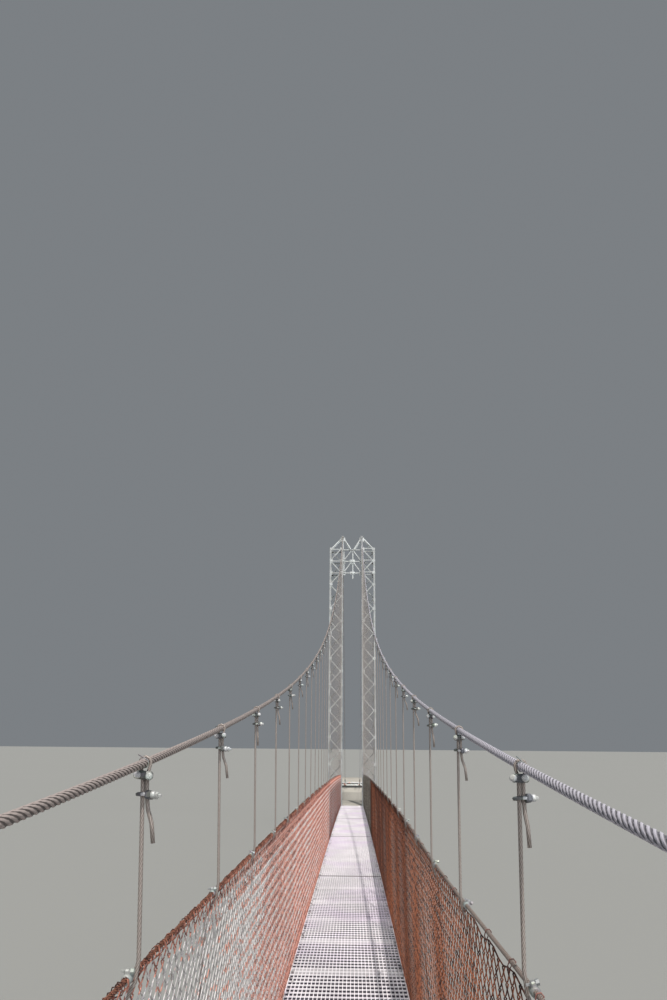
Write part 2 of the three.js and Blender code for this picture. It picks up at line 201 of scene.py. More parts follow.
def hanger_x(y, z):
    rise = (z - rail_top(y)) / (cable_height(y) - rail_top(y))
    return HANGER_FOOT_X + (CABLE_X - HANGER_FOOT_X) * rise


def rope_x(y):
    return hanger_x(y, deck_top(y) + ROPE_HEIGHT) - CAD_HANGER_RADIUS - CAD_ROPE_RADIUS - GAP


def rope_height(side, y):
    """The right hand rope hangs slack in one stretch, and the left one is laced tight."""
    slack = RIGHT_SLACK * np.exp(-(((y - SLACK_PLACE) / SLACK_REACH) ** 2)) if side > 0 else 0.0
    return deck_top(y) + ROPE_HEIGHT - slack


def saddle_line():
    """The cable's angle where the span meets the round saddle, and the height of the saddle's centre."""
    start = HALF_SPAN
    for _ in range(8):
        start = HALF_SPAN - SADDLE_RADIUS * math.sin(math.atan(cable_slope(start)))
    angle = math.atan(cable_slope(start))
    return angle, cable_height(start) - SADDLE_RADIUS * math.cos(angle)


SPAN_ANGLE, SADDLE_CENTRE = saddle_line()
STAY_START = (
    HALF_SPAN + SADDLE_RADIUS * math.sin(BACKSTAY_ANGLE),
    SADDLE_CENTRE + SADDLE_RADIUS * math.cos(BACKSTAY_ANGLE),
)
STAY_LENGTH = (STAY_START[1] - BACKSTAY_END_HEIGHT) / math.sin(BACKSTAY_ANGLE)


def stay_point(along, across=0.0):
    return (
        STAY_START[0] + along * math.cos(BACKSTAY_ANGLE) + across * math.sin(BACKSTAY_ANGLE),
        STAY_START[1] - along * math.sin(BACKSTAY_ANGLE) + across * math.cos(BACKSTAY_ANGLE),
    )


# Meshes from arrays, for wires, ropes and what repeats often
def added(name, data):
    """A new object in the scene."""
    obj = bpy.data.objects.new(name, data)
    bpy.context.scene.collection.objects.link(obj)
    return obj


def mesh_of(name, points, corners, starts):
    """A mesh from points in the model's metres, the corners of all faces and each face's first corner."""
    mesh = bpy.data.meshes.new(name)
    mesh.vertices.add(len(points))
    mesh.vertices.foreach_set("co", np.asarray(points, np.float32).ravel())
    mesh.loops.add(len(corners))
    mesh.loops.foreach_set("vertex_index", corners)
    mesh.polygons.add(len(starts))
    mesh.polygons.foreach_set("loop_start", starts)
    return mesh


def values_of(items, name, kind, size=1):
    """One value of each item of a mesh, or size of them, in a flat array."""
    values = np.empty(len(items) * size, kind)
    items.foreach_get(name, values)
    return values


def tubes(centres, radius, sides, facing=(1, 0, 0), turn=0.0):
    """Closed tubes along lines of points, all with the same number of points.

    The radius may vary by line, by point and round the tube. Gives points, quads, triangles and uv."""
    centres = np.asarray(centres, float)
    if centres.ndim == 2:
        centres = centres[None]
    lines, count, _ = centres.shape
    along = np.gradient(centres, axis=1)
    along /= np.linalg.norm(along, axis=2, keepdims=True)
    facing = np.broadcast_to(np.asarray(facing, float), along.shape)
    across = facing - along * np.sum(facing * along, axis=2, keepdims=True)
    across /= np.linalg.norm(across, axis=2, keepdims=True)
    upward = np.cross(along, across)
    turn = np.broadcast_to(np.asarray(turn, float), (lines, count))[:, :, None]
    angle = 2 * math.pi * np.arange(sides) / sides + turn
    radius = np.broadcast_to(np.asarray(radius, float), (lines, count, sides))[..., None]
    ring = np.cos(angle)[..., None] * across[:, :, None] + np.sin(angle)[..., None] * upward[:, :, None]
    points = centres[:, :, None] + radius * ring
    index = np.arange(lines * count * sides).reshape(lines, count, sides)
    after = np.roll(index, -1, axis=2)
    quads = np.stack([index[:, :-1], after[:, :-1], after[:, 1:], index[:, 1:]], axis=-1)
    fan = np.arange(1, sides - 1)
    first, last = index[:, 0], index[:, -1]
    start_caps = np.stack([np.repeat(first[:, :1], sides - 2, 1), first[:, fan + 1], first[:, fan]], -1)
    end_caps = np.stack([np.repeat(last[:, :1], sides - 2, 1), last[:, fan], last[:, fan + 1]], -1)
    step = np.linalg.norm(np.diff(centres, axis=1), axis=2)
    length = np.concatenate([np.zeros((lines, 1)), np.cumsum(step, axis=1)], axis=1)
    u = angle / (2 * math.pi)
    u_next = u + 1 / sides
    v = np.broadcast_to(length[:, :, None], u.shape)
    corners = [
        (u[:, :-1], v[:, :-1]), (u_next[:, :-1], v[:, :-1]),
        (u_next[:, 1:], v[:, 1:]), (u[:, 1:], v[:, 1:]),
    ]
    uv = np.stack([np.stack(c, -1) for c in corners], axis=-2).reshape(-1, 2)
    caps = np.concatenate([start_caps, end_caps])
    return points.reshape(-1, 3), quads.reshape(-1, 4), caps.reshape(-1, 3), uv


class Bundle:
    """Gathers tubes until they are made one piece."""

    def __init__(self):
        self.points, self.quads, self.tris, self.uv, self.count = [], [], [], [], 0

    def add(self, *args, **settings):
        points, quads, tris, uv = tubes(*args, **settings)
        self.points.append(points)
        self.quads.append(quads + self.count)
        self.tris.append(tris + self.count)
        self.uv.append(uv)
        self.count += len(points)

    def piece(self, name):
        """A new object with all the tubes. Its map has the turn round a tube and the length along it."""
        points = np.asarray(np.concatenate(self.points), np.float32) * TENTH
        quads, tris = np.concatenate(self.quads), np.concatenate(self.tris)
        corners = np.concatenate([quads.ravel(), tris.ravel()]).astype(np.int32)
        starts = np.concatenate([np.arange(len(quads)) * 4, quads.size + np.arange(len(tris)) * 3])
        mesh = mesh_of(name, points, corners, starts.astype(np.int32))
        mesh.polygons.foreach_set("use_smooth", np.ones(len(starts), bool))
        mesh.update(calc_edges=True)
        uv = np.concatenate(self.uv + [np.zeros((len(tris) * 3, 2))])
        mesh.uv_layers.new(name="along").uv.foreach_set("vector", uv.astype(np.float32).ravel())
        mesh.validate()
        return added(name, mesh)


def tube_piece(name, *args, **settings):
    """A piece made of tubes that are given as for tubes()."""
    bundle = Bundle()
    bundle.add(*args, **settings)
    return bundle.piece(name)


# Steps as by hand, on one object at a time
def real(*values):
    return Vector(values) * TENTH


def only(obj):
    bpy.ops.object.select_all(action="DESELECT")
    bpy.context.view_layer.objects.active = obj
    obj.select_set(True)


def settle():
    """Puts the active object's place into its mesh."""
    bpy.ops.object.transform_apply(location=True, rotation=True, scale=True)
    return bpy.context.active_object


def block(centre, size, name="block"):
    bpy.ops.object.select_all(action="DESELECT")
    bpy.ops.mesh.primitive_cube_add(size=1, location=real(*centre), scale=real(*size))
    obj = settle()
    obj.name = name
    return obj


def round_bar(centre, radius, length, sides, axis="Z"):
    turns = {"X": (0, math.pi / 2, 0), "Y": (math.pi / 2, 0, 0), "Z": (0, 0, 0)}
    bpy.ops.object.select_all(action="DESELECT")
    bpy.ops.mesh.primitive_cylinder_add(
        vertices=sides, radius=radius * TENTH, depth=length * TENTH,
        location=real(*centre), rotation=turns[axis])
    return settle()


def edit(obj, kind, select, steps):
    """Takes steps in edit mode on the faces or points that select(mesh) has marked."""
    only(obj)
    bpy.ops.object.mode_set(mode="EDIT")
    bpy.ops.mesh.select_mode(type=kind)
    bpy.ops.mesh.select_all(action="DESELECT")
    bpy.ops.object.mode_set(mode="OBJECT")
    select(obj.data)
    bpy.ops.object.mode_set(mode="EDIT")
    for step in steps:
        step()
    bpy.ops.object.mode_set(mode="OBJECT")


def shape(obj, chosen, *steps):
    """Takes steps on the faces for which chosen(centre, normal) holds."""
    def select(mesh):
        for face in mesh.polygons:
            face.select = bool(chosen(face.center / TENTH, face.normal))

    edit(obj, "FACE", select, steps)


def shift(obj, chosen, offset):
    """Moves the points for which chosen(place) holds."""
    def select(mesh):
        for vertex in mesh.vertices:
            vertex.select = bool(chosen(vertex.co / TENTH))

    edit(obj, "VERT", select, [lambda: bpy.ops.transform.translate(value=real(*offset))])


def inset(thickness):
    return lambda: bpy.ops.mesh.inset(thickness=thickness * TENTH)


def push(*value):
    return lambda: bpy.ops.mesh.extrude_region_move(
        TRANSFORM_OT_translate={"value": real(*value)})


def everything(centre, normal):
    return True


def modify(obj, kind, **settings):
    """Adds a modifier, sets it and applies it."""
    only(obj)
    bpy.ops.object.modifier_add(type=kind)
    modifier = obj.modifiers[-1]
    for key, value in settings.items():
        setattr(modifier, key, value)
    bpy.ops.object.modifier_apply(modifier=modifier.name)
    return obj


def bevel(obj, width, segments=1):
    return modify(obj, "BEVEL", width=width * TENTH, segments=segments, limit_method="ANGLE")


def array(obj, count, step):
    return modify(
        obj, "ARRAY", count=count, use_relative_offset=False, use_constant_offset=True,
        constant_offset_displace=real(*step))


def joined(name, *objects):
    bpy.ops.object.select_all(action="DESELECT")
    for obj in objects:
        obj.select_set(True)
    bpy.context.view_layer.objects.active = objects[0]
    bpy.ops.object.join()
    objects[0].name = name
    return objects[0]


def copies(name, template, places):
    """One mesh with a copy of the template at each place."""
    source = template.data
    points = values_of(source.vertices, "co", float, 3).reshape(-1, 3)
    corners = values_of(source.loops, "vertex_index", np.int32)
    starts = values_of(source.polygons, "loop_start", np.int32)
    matrices = np.array([np.array(p) for p in places])
    turned = np.einsum("mij,nj->mni", matrices[:, :3, :3], points) + matrices[:, None, :3, 3]
    number = np.arange(len(matrices), dtype=np.int32)[:, None]
    mesh = mesh_of(
        name, turned.reshape(-1, 3), (corners + len(points) * number).ravel(),
        (starts + len(corners) * number).ravel())
    for value, kind in (("use_smooth", bool), ("material_index", np.int32)):
        mesh.polygons.foreach_set(value, np.tile(values_of(source.polygons, value, kind), len(matrices)))
    for material in source.materials:
        mesh.materials.append(material)
    mesh.update(calc_edges=True)
    mesh.validate()
    return added(name, mesh)


def put_away(*templates):
    for template in templates:
        bpy.data.objects.remove(template)


def place(at, turn=(0, 0, 0)):
    """A place in full-size metres, turned by three angles in radians."""
    x, y, z = (Matrix.Rotation(angle, 4, axis) for angle, axis in zip(turn, "XYZ"))
    matrix = z @ y @ x
    matrix.translation = real(*at)
    return matrix


def between(start, end, facing):
    """A place whose Z runs from start to end and whose X is nearest to facing."""
    along = (Vector(end) - Vector(start)).normalized()
    across = (Vector(facing) - along * along.dot(Vector(facing))).normalized()
    matrix = Matrix((across, along.cross(across), along)).transposed().to_4x4()
    matrix.translation = real(*start)
    return matrix


def angle_iron(leg, thickness, length, name="angle"):
    """An angle bar that stands on its end at the origin, its heel on the Z axis."""
    bar = block((leg / 2, thickness / 2, length / 2), (leg, thickness, length), name)
    shape(
        bar, lambda c, n: n.y > 0.9,
        lambda: bpy.ops.mesh.bisect(plane_co=real(thickness, 0, 0), plane_no=(1, 0, 0)))
    shape(bar, lambda c, n: n.y > 0.9 and c.x < thickness, push(0, leg - thickness, 0))
    return bar


def follow_camber(obj):
    """Lifts a piece that was made level to the camber of the deck."""
    points = values_of(obj.data.vertices, "co", np.float32, 3).reshape(-1, 3)
    points[:, 2] += deck_top(points[:, 1] / TENTH) * TENTH
    obj.data.vertices.foreach_set("co", points.ravel())
    obj.data.update()
    return obj


def dress(obj, material):
    obj.data.materials.clear()
    obj.data.materials.append(material)
    return obj


def finished(obj, slot, *nodes):
    """Gives the piece its body and hides the nodes that it stands for. The slot is not used."""
    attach(obj, BODY)
    if nodes:
        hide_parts(*nodes)
    return obj


def smooth(obj, degrees=35):
    only(obj)
    bpy.ops.object.shade_smooth_by_angle(angle=math.radians(degrees))
    return obj


# Finishes
class Finish:
    """A node material, built up from patterns in the piece's own space."""

    def __init__(self, name, metallic=0.0):
        self.material = bpy.data.materials.new(name)
        self.material.use_nodes = True
        self.tree = self.material.node_tree
        self.shader = self.tree.nodes["Principled BSDF"]
        self.shader.inputs["Metallic"].default_value = metallic
        self.coords = self.tree.nodes.new("ShaderNodeTexCoord")

    def node(self, kind, inputs=(), **settings):
        node = self.tree.nodes.new(kind)
        for key, value in settings.items():
            setattr(node, key, value)
        for key, value in dict(inputs).items():
            self.plug(value, node.inputs[key])
        return node

    def plug(self, value, socket):
        if isinstance(value, bpy.types.NodeSocket):
            self.tree.links.new(value, socket)
        elif isinstance(value, tuple) and len(value) == 3 and len(socket.default_value) == 4:
            socket.default_value = (*value, 1)
        else:
            socket.default_value = value

    def mapped(self, per_metre, stretch=(1, 1, 1)):
        """Places in the piece's own space, for a pattern that repeats so often to the full-size metre."""
        scale = tuple(per_metre * s / TENTH for s in stretch)
        inputs = {"Vector": self.coords.outputs["Object"], "Scale": scale}
        return self.node("ShaderNodeMapping", inputs).outputs[0]

    def noise(self, per_metre, detail=3.0, stretch=(1, 1, 1)):
        """Uneven cloudiness."""
        inputs = {"Vector": self.mapped(per_metre, stretch), "Scale": 1.0, "Detail": detail}
        return self.node("ShaderNodeTexNoise", inputs).outputs[0]

    def cells(self, per_metre, output):
        """Cells side by side: the distance from their middles, or a colour for each."""
        inputs = {"Vector": self.mapped(per_metre), "Scale": 1.0}
        return self.node("ShaderNodeTexVoronoi", inputs).outputs[output]

    def part_of(self, coordinates, part):
        """One of the three numbers that the coordinates have."""
        return self.node("ShaderNodeSeparateXYZ", {0: self.coords.outputs[coordinates]}).outputs[part]

    def place_of(self, axis):
        """The place along an axis in full-size metres."""
        return self.sum("MULTIPLY", self.part_of("Object", axis), 1 / TENTH)

    def facing(self, axis):
        """How squarely a face looks along an axis, from 0 to 1."""
        return self.sum("ABSOLUTE", self.part_of("Normal", axis))

    def above_deck(self):
        """The height above the deck's cambered top in full-size metres."""
        share = self.sum("POWER", self.sum("DIVIDE", self.place_of(1), HALF_SPAN), 2.0)
        drop = self.sum("MULTIPLY", share, DECK_CAMBER)
        top = self.sum("SUBTRACT", DECK_END_HEIGHT + DECK_CAMBER, drop)
        return self.sum("SUBTRACT", self.place_of(2), top)

    def sum(self, operation, a, b=0.0, clamp=False):
        return self.node("ShaderNodeMath", {0: a, 1: b}, operation=operation, use_clamp=clamp).outputs[0]

    def step(self, value, low, high, at_low=0.0, at_high=1.0):
        return self.node(
            "ShaderNodeMapRange",
            {"Value": value, "From Min": low, "From Max": high, "To Min": at_low, "To Max": at_high},
            interpolation_type="SMOOTHSTEP").outputs[0]

    def blend(self, share, a, b, kind="MIX"):
        mix = self.node("ShaderNodeMix", data_type="RGBA", blend_type=kind)
        self.plug(share, mix.inputs[0])
        self.plug(a, mix.inputs[6])
        self.plug(b, mix.inputs[7])
        return mix.outputs[2]

    def cover(self, colour, share, strength, other):
        """Another colour over the first one, where the share is high and with so much strength."""
        return self.blend(self.sum("MULTIPLY", share, strength), colour, other)

    def strands(self, lay):
        """From 0 in the grooves to 1 on the crests of the strands of a laid rope."""
        along = self.sum("DIVIDE", self.part_of("UV", 1), lay)
        turns = self.sum("SUBTRACT", self.part_of("UV", 0), along)
        wave = self.sum("COSINE", self.sum("MULTIPLY", turns, 2 * math.pi * STRANDS))
        return self.step(wave, -1.0, -0.1)

    def done(self, colour, roughness, height=None, depth=0.001, strength=1.0):
        """Plugs in the results. Depth is that of the relief in full-size metres."""
        self.plug(colour, self.shader.inputs["Base Color"])
        self.plug(roughness, self.shader.inputs["Roughness"])
        if height is not None:
            relief = {"Height": height, "Distance": depth * TENTH, "Strength": strength}
            self.plug(self.node("ShaderNodeBump", relief).outputs[0], self.shader.inputs["Normal"])
        return self.material


def darker(colour, factor):
    return tuple(c * factor for c in colour)


def zinc_finish(name, pale, rust_share):
    """Galvanised steel with grey blooms, run marks and a little rust."""
    paint = Finish(name, metallic=0.35)
    zinc = darker(colour_of("zinc"), pale)
    bloom = paint.step(paint.noise(3.0, 5), 0.35, 0.7)
    run = paint.step(paint.noise(9.0, 3, (1, 1, 0.12)), 0.52, 0.72)
    spangle = paint.cells(55.0, "Color")
    colour = paint.blend(bloom, zinc, darker(zinc, 0.72))
    colour = paint.blend(0.12, colour, spangle, "SOFT_LIGHT")
    colour = paint.cover(colour, run, 0.4, darker(zinc, 0.4))
    rust = paint.step(paint.noise(6.0, 6), 0.86 - 0.3 * rust_share, 0.98 - 0.3 * rust_share)
    colour = paint.cover(colour, rust, 0.75, darker(colour_of("rust"), 0.7))
    rough = paint.step(paint.noise(20.0, 2), 0.3, 0.7, 0.4, 0.62)
    return paint.done(colour, rough, paint.noise(60.0, 4), 0.0012, 0.5)


def grating_finish():
    """Pale galvanised grating, with painted shade low on the cross bars' faces, for the dark seen down
    through the openings, weaker over the floor beams as painted light from their tops.
    """
    paint = Finish("walked_grating", metallic=0.05)
    deck = colour_of("deck")
    wear = paint.step(paint.noise(2.2, 4, (1, 0.4, 1)), 0.35, 0.68)
    colour = paint.blend(wear, deck, darker(deck, 0.86))
    lilac = paint.step(paint.noise(0.9, 3), 0.42, 0.66)
    colour = paint.cover(colour, lilac, 0.45, tint(226, 206, 234))
    off_middle = paint.sum("ABSOLUTE", paint.place_of(0))
    edge = paint.step(off_middle, DECK_WIDTH / 2 - DIRT_WIDTH, DECK_WIDTH / 2)
    speck = paint.step(paint.noise(34.0, 5, (1, 0.6, 1)), 0.5, 0.6)
    dirt = paint.sum("MULTIPLY", edge, speck)
    colour = paint.cover(colour, dirt, 0.75, tint(88, 74, 66))
    spot = paint.step(paint.noise(14.0, 6), 0.68, 0.76)
    colour = paint.cover(colour, spot, 0.45, darker(colour_of("rust"), 0.8))
    along = paint.place_of(1)
    past_joint = paint.sum("PINGPONG", paint.sum("SUBTRACT", along, FIRST_JOINT), PANEL_LENGTH / 2)
    joint = paint.step(past_joint, 0.03, 0.06, 0.7, 0.0)
    colour = paint.blend(joint, colour, tint(92, 80, 86))
    # Painted shade: faces that look along the span are dark low on the cross bars, for the dark under the
    # deck seen through the openings; over the floor beams it is weaker, as painted light from the beams'
    # tops.
    painted_bar_shade = paint.step(
        paint.above_deck(), -PAINTED_SHADE_DEPTH - PAINTED_SHADE_EDGE, PAINTED_SHADE_EDGE - PAINTED_SHADE_DEPTH, 1.0, 0.0)
    shade_strength = paint.step(paint.sum("PINGPONG", along, 0.5), 0.05, 0.12, 0.35, 0.97)
    painted_bar_shade = paint.sum("MULTIPLY", painted_bar_shade, paint.step(paint.facing(1), 0.5, 0.9))
    colour = paint.cover(colour, painted_bar_shade, shade_strength, tint(34, 18, 44))
    rough = paint.step(paint.noise(30.0, 3), 0.3, 0.7, 0.5, 0.7)
    return paint.done(colour, rough, paint.noise(90.0, 3), 0.0008, 0.5)


def rope_finish(name, crest, groove, rust_share, lay, depth):
    """Laid wire rope: crests, grooves darkened with painted shade, and rust in patches."""
    paint = Finish(name, metallic=0.3)
    laid = paint.strands(lay)
    patch = paint.noise(2.5, 5)
    fine = paint.noise(120.0, 3)
    # Painted shade: the grooves between the strands are coloured darker than the crests.
    colour = paint.blend(laid, groove, crest)
    colour = paint.blend(paint.step(fine, 0.35, 0.7, 0.0, 0.35), colour, darker(crest, 0.6))
    rusty = paint.step(patch, 0.72 - 0.5 * rust_share, 0.9 - 0.5 * rust_share)
    rust = paint.blend(paint.noise(40.0, 4), colour_of("dark_rust"), colour_of("rust"))
    # Painted shade: in the grooves the rust is darker still.
    rust = paint.blend(laid, darker(colour_of("dark_rust"), 0.4), rust)
    colour = paint.blend(rusty, colour, rust)
    rough = paint.step(fine, 0.3, 0.7, 0.5, 0.75)
    return paint.done(colour, rough, laid, depth, 0.9)


def wire_finish(
        name, bright, old, pale_shares, turning=(7.5, 10.5), rows=0.0, shade=0.0, grey_from=None):
    """Fence wire: zinc that is left, bright rust and old rust in patches, with more rust at its edges.

    The share of zinc goes from the first to the second of pale_shares between the places in turning.
    It is higher by the share in rows on every second row of knots, a painted highlight where the sun
    strikes. Shade is the strength of the painted shade that darkens the wire further along and in broad
    patches, and grey_from the places between which the wire turns to a grey mottle."""
    paint = Finish(name, metallic=0.05)
    wire = colour_of("wire")
    cloud = paint.noise(0.8, 5)
    fine = paint.noise(38.0, 4)
    along = paint.place_of(1)
    height = paint.above_deck()
    row_height = FENCE_HEIGHT / HALF_ROWS
    row = paint.sum("PINGPONG", paint.sum("ADD", height, FENCE_SINK), row_height)
    # Painted highlight: every second row of knots is paler, where the sun strikes.
    lit = paint.step(row, 0.25 * row_height, 0.55 * row_height, rows, 0.0)
    colour = paint.blend(paint.step(paint.sum("SUBTRACT", fine, lit), 0.42, 0.56), bright, old)
    fleck = paint.step(paint.noise(90.0, 2), 0.5, 0.66)
    colour = paint.cover(colour, fleck, 0.5, darker(bright, 1.3))
    level = paint.sum("ADD", paint.sum("MULTIPLY", cloud, 0.25), paint.sum("MULTIPLY", fine, 0.75))
    level = paint.sum("ADD", level, lit)
    low, high = (0.64 - 0.28 * share for share in pale_shares)
    middle = paint.step(along, *turning, low, high)
    off_middle = paint.sum("ABSOLUTE", paint.sum("SUBTRACT", height, ROPE_HEIGHT / 2))
    middle = paint.sum("ADD", middle, paint.step(off_middle, 0.42, 0.54, 0.0, 0.18))
    left = paint.step(paint.sum("SUBTRACT", level, middle), -0.04, 0.04)
    pale = paint.blend(paint.step(paint.noise(25.0, 3), 0.35, 0.65), wire, darker(wire, 0.6))
    colour = paint.blend(left, colour, pale)
    # Painted shade: the wire darkens further along and in broad cloudy patches, by the share in shade.
    dim = paint.sum("ADD", paint.step(along, 9.0, 20.0, 0.0, 0.6), paint.step(cloud, 0.42, 0.6, 0.0, 0.6))
    colour = paint.blend(paint.sum("MULTIPLY", dim, shade, True), colour, darker(old, 0.8))
    if grey_from is not None:
        further = paint.sum("ADD", along, paint.sum("MULTIPLY", cloud, 3.0))
        grey = paint.step(further, *grey_from, 0.0, 0.75)
        mottle = paint.blend(paint.step(fine, 0.4, 0.6), tint(176, 178, 168), tint(92, 88, 78))
        colour = paint.blend(grey, colour, mottle)
    rough = paint.step(fine, 0.3, 0.7, 0.55, 0.85)
    return paint.done(colour, rough, fine, 0.0006, 0.6)


def concrete_finish():
    """Cast concrete with board marks, pores, run marks and damp feet."""
    paint = Finish("cast_concrete")
    base = colour_of("concrete")
    cloud = paint.noise(0.7, 6)
    colour = paint.blend(paint.step(cloud, 0.3, 0.7), darker(base, 0.75), base)
    grain = paint.noise(60.0, 4)
    colour = paint.blend(paint.step(grain, 0.3, 0.75, 0.0, 0.35), colour, darker(base, 0.55))
    run = paint.step(paint.noise(4.0, 4, (1, 1, 0.08)), 0.55, 0.75)
    colour = paint.cover(colour, run, 0.55, darker(base, 0.38))
    height = paint.place_of(2)
    damp = paint.step(paint.sum("ADD", height, paint.sum("MULTIPLY", cloud, 0.5)), 0.2, 0.65, 1.0, 0.0)
    colour = paint.cover(colour, damp, 0.5, tint(92, 88, 70))
    board = paint.sum("PINGPONG", height, 0.075)
    seam = paint.step(board, 0.0, 0.006)
    colour = paint.cover(colour, paint.sum("SUBTRACT", 1.0, seam), 0.35, darker(base, 0.45))
    pores = paint.step(paint.cells(28.0, "Distance"), 0.12, 0.2)
    relief = paint.sum("ADD", paint.sum("MULTIPLY", seam, 0.8), paint.sum("MULTIPLY", pores, 0.5))
    relief = paint.sum("ADD", relief, paint.sum("MULTIPLY", grain, 0.6))
    return paint.done(colour, paint.step(grain, 0.3, 0.7, 0.8, 0.95), relief, 0.004, 0.7)


# Main cables
FINE_REACH = 8.0
FINE_STEP = 0.013
FADE = 1.0
COARSE_STEP = 0.5
SADDLE_STEPS = 13


def cable_route():
    """Places along a main cable from anchor to anchor, close together where its strands are modelled."""
    half = [stay_point(along) for along in np.arange(STAY_LENGTH, COARSE_STEP / 2, -COARSE_STEP)]
    for angle in np.linspace(BACKSTAY_ANGLE, -SPAN_ANGLE, SADDLE_STEPS):
        y, z = SADDLE_RADIUS * math.sin(angle), SADDLE_RADIUS * math.cos(angle)
        half.append((HALF_SPAN + y, SADDLE_CENTRE + z))
    half += [(y, cable_height(y)) for y in np.arange(LAST_HANGER, FINE_REACH, -COARSE_STEP)]
    middle = np.arange(-FINE_REACH, FINE_REACH, FINE_STEP)
    near = [(-y, z) for y, z in half]
    return np.array(near + [(y, cable_height(y)) for y in middle] + half[::-1])


def laid_rope(name, line, radius, lay, fine, depth=0.17):
    """A rope along a line, whose strands stand out between two places along Y.

    Depth is the share of the radius by which the grooves between the strands are sunk."""
    step = np.linalg.norm(np.diff(line, axis=0), axis=1)
    length = np.concatenate([[0], np.cumsum(step)])
    y = line[:, 1]
    inside = (y >= fine[0]) & (y <= fine[1])
    reach = length[inside]
    turn = 2 * math.pi * np.clip(length, reach[0], reach[-1]) / lay + math.pi / STRANDS
    fade = np.clip(np.minimum(y - fine[0], fine[1] - y) / FADE, 0, 1)
    groove = np.where(np.arange(3 * STRANDS) % 3 == 0, -depth, 0.0)
    radii = radius * (1 + fade[:, None] * groove)
    return tube_piece(name, line, radii[None], 3 * STRANDS, turn=turn[None])


class BRIDGE_OT_main_cables(bpy.types.Operator):
    """Adds the two main cables with their strands"""

    bl_idname = "bridge.main_cables"
    bl_label = "Main Cables"

    def execute(self, context):
        crests = {"left": colour_of("left_cable"), "right": colour_of("cable")}
        radius, lay = sizes().cable_radius, sizes().cable_lay
        route = cable_route()
        for name, side in SIDES.items():
            crest = crests[name]
            # The second colour is the painted shade of the grooves, a quarter as bright as the crests.
            finish = rope_finish(f"cable_wire_{name}", crest, darker(crest, 0.24), 0.04, lay, 0.003)
            line = np.column_stack([np.full(len(route), side * CABLE_X), route])
            cable = laid_rope(f"cable_strands_{name}", line, radius, lay, (-FINE_REACH, FINE_REACH))
            finished(dress(cable, finish), "wire_rope", f"main_cable_{name}")
        return {"FINISHED"}


# Hangers, with the clips that close their loops
HANGER_PLACES = range(-LAST_HANGER, LAST_HANGER + 1)
HANGER_LAY = 0.06
# Height of the eye over the rail, and how far under and outside the hand rope a hanger passes the mesh
EYE_HEIGHT = 0.075
BEHIND_MESH = 0.07
OUTSIDE_ROPE = 0.016
# Room for the wires that lace the mesh to the left hand rope
ROOM_TO_ROPE = {-1: 0.01, 1: 0.0}
# Points of a hanger by their height over the hand rope, and by their drop below the cable's middle
ROPE_STOPS = (-0.4, -BEHIND_MESH, -0.012, 0.03)
FIRST_CLIP = 0.025
SECOND_CLIP = 0.066
CLIP_STOPS = (SECOND_CLIP + 0.02, SECOND_CLIP, FIRST_CLIP)
TAIL = 0.163
# The loop's points round the cable, and the share of its thickness that it keeps where it is pressed
LOOP = np.radians([205, 170, 130, 90, 50, 10, -25])
PRESSED = 0.72
# Rope clip: size of its saddle, half the distance of its bolts, radius and length of bolts and nuts
CLIP_SADDLE = (0.038, 0.014, 0.018)
CLIP_BOLT_X = 0.013
CLIP_BOLT = (0.0038, 0.038)
CLIP_NUT = (0.0086, 0.01)
CLIP_BOW_RADIUS = 0.0042
# Seizing wire: its radius, and length and angle of the end that stands off
SEIZING_RADIUS = 0.0013
SEIZING_END = 0.018
SEIZING_END_TURN = 1.25
# Eye bolt at the foot of a hanger: radius and length of bolt and nut, radii of the ring, and its clip
EYE_BOLT = (0.006, 0.05)
EYE_NUT = (0.012, 0.011)
EYE_RING = (0.017, 0.005)
EYE_CENTRE = 0.052
EYE_CLIP = (0.03, 0.022, 0.03)


def hung_x(side, y, height):
    """Where a hanger passes: plumb down to the inner side of the hand rope, then out behind the mesh."""
    level = rope_height(side, y)
    beside_rope = rope_x(y) - sizes().rope_radius - sizes().hanger_radius - ROOM_TO_ROPE[side]
    if height > level:
        rise = (height - level) / (cable_height(y) - level)
        return beside_rope + (CABLE_X - beside_rope) * rise
    behind = level - BEHIND_MESH
    out = rope_x(y) + OUTSIDE_ROPE
    if height > behind:
        return beside_rope + (out - beside_rope) * (level - height) / BEHIND_MESH
    foot = rail_top(y) + EYE_HEIGHT
    return out + (HANGER_FOOT_X - out) * (behind - height) / (behind - foot)


def hanger_line(side, y, end_swing):
    """A hanger from its eye at the rail, over the cable and down to its cut end."""
    height = cable_height(y)
    level = rope_height(side, y)
    radius = sizes().hanger_radius
    around = sizes().cable_radius + PRESSED * radius

    def beside(drop, across):
        return (side * hung_x(side, y, height - drop) + across, y, height - drop)

    heights = [rail_top(y) + EYE_HEIGHT, *(level + stop for stop in ROPE_STOPS)]
    line = [beside(height - z, -radius * min(1, i)) for i, z in enumerate(heights)]
    line += [beside(drop, -radius) for drop in CLIP_STOPS]
    for angle in LOOP:
        line.append((side * CABLE_X + around * math.cos(angle), y, height + around * math.sin(angle)))
    line += [beside(drop, radius) for drop in (FIRST_CLIP, SECOND_CLIP)]
    for drop, share in ((SECOND_CLIP + 0.03, 0.2), (TAIL - 0.04, 0.75), (TAIL, 1.0)):
        line.append(beside(drop, radius + share * end_swing))
    return line


def hanger_radii(points):
    """Radii along a hanger, which is pressed where it bends over the cable."""
    radii = np.full((points, 1), sizes().hanger_radius)
    first = 1 + len(ROPE_STOPS) + len(CLIP_STOPS)
    radii[first:first + len(LOOP)] *= PRESSED
    return radii


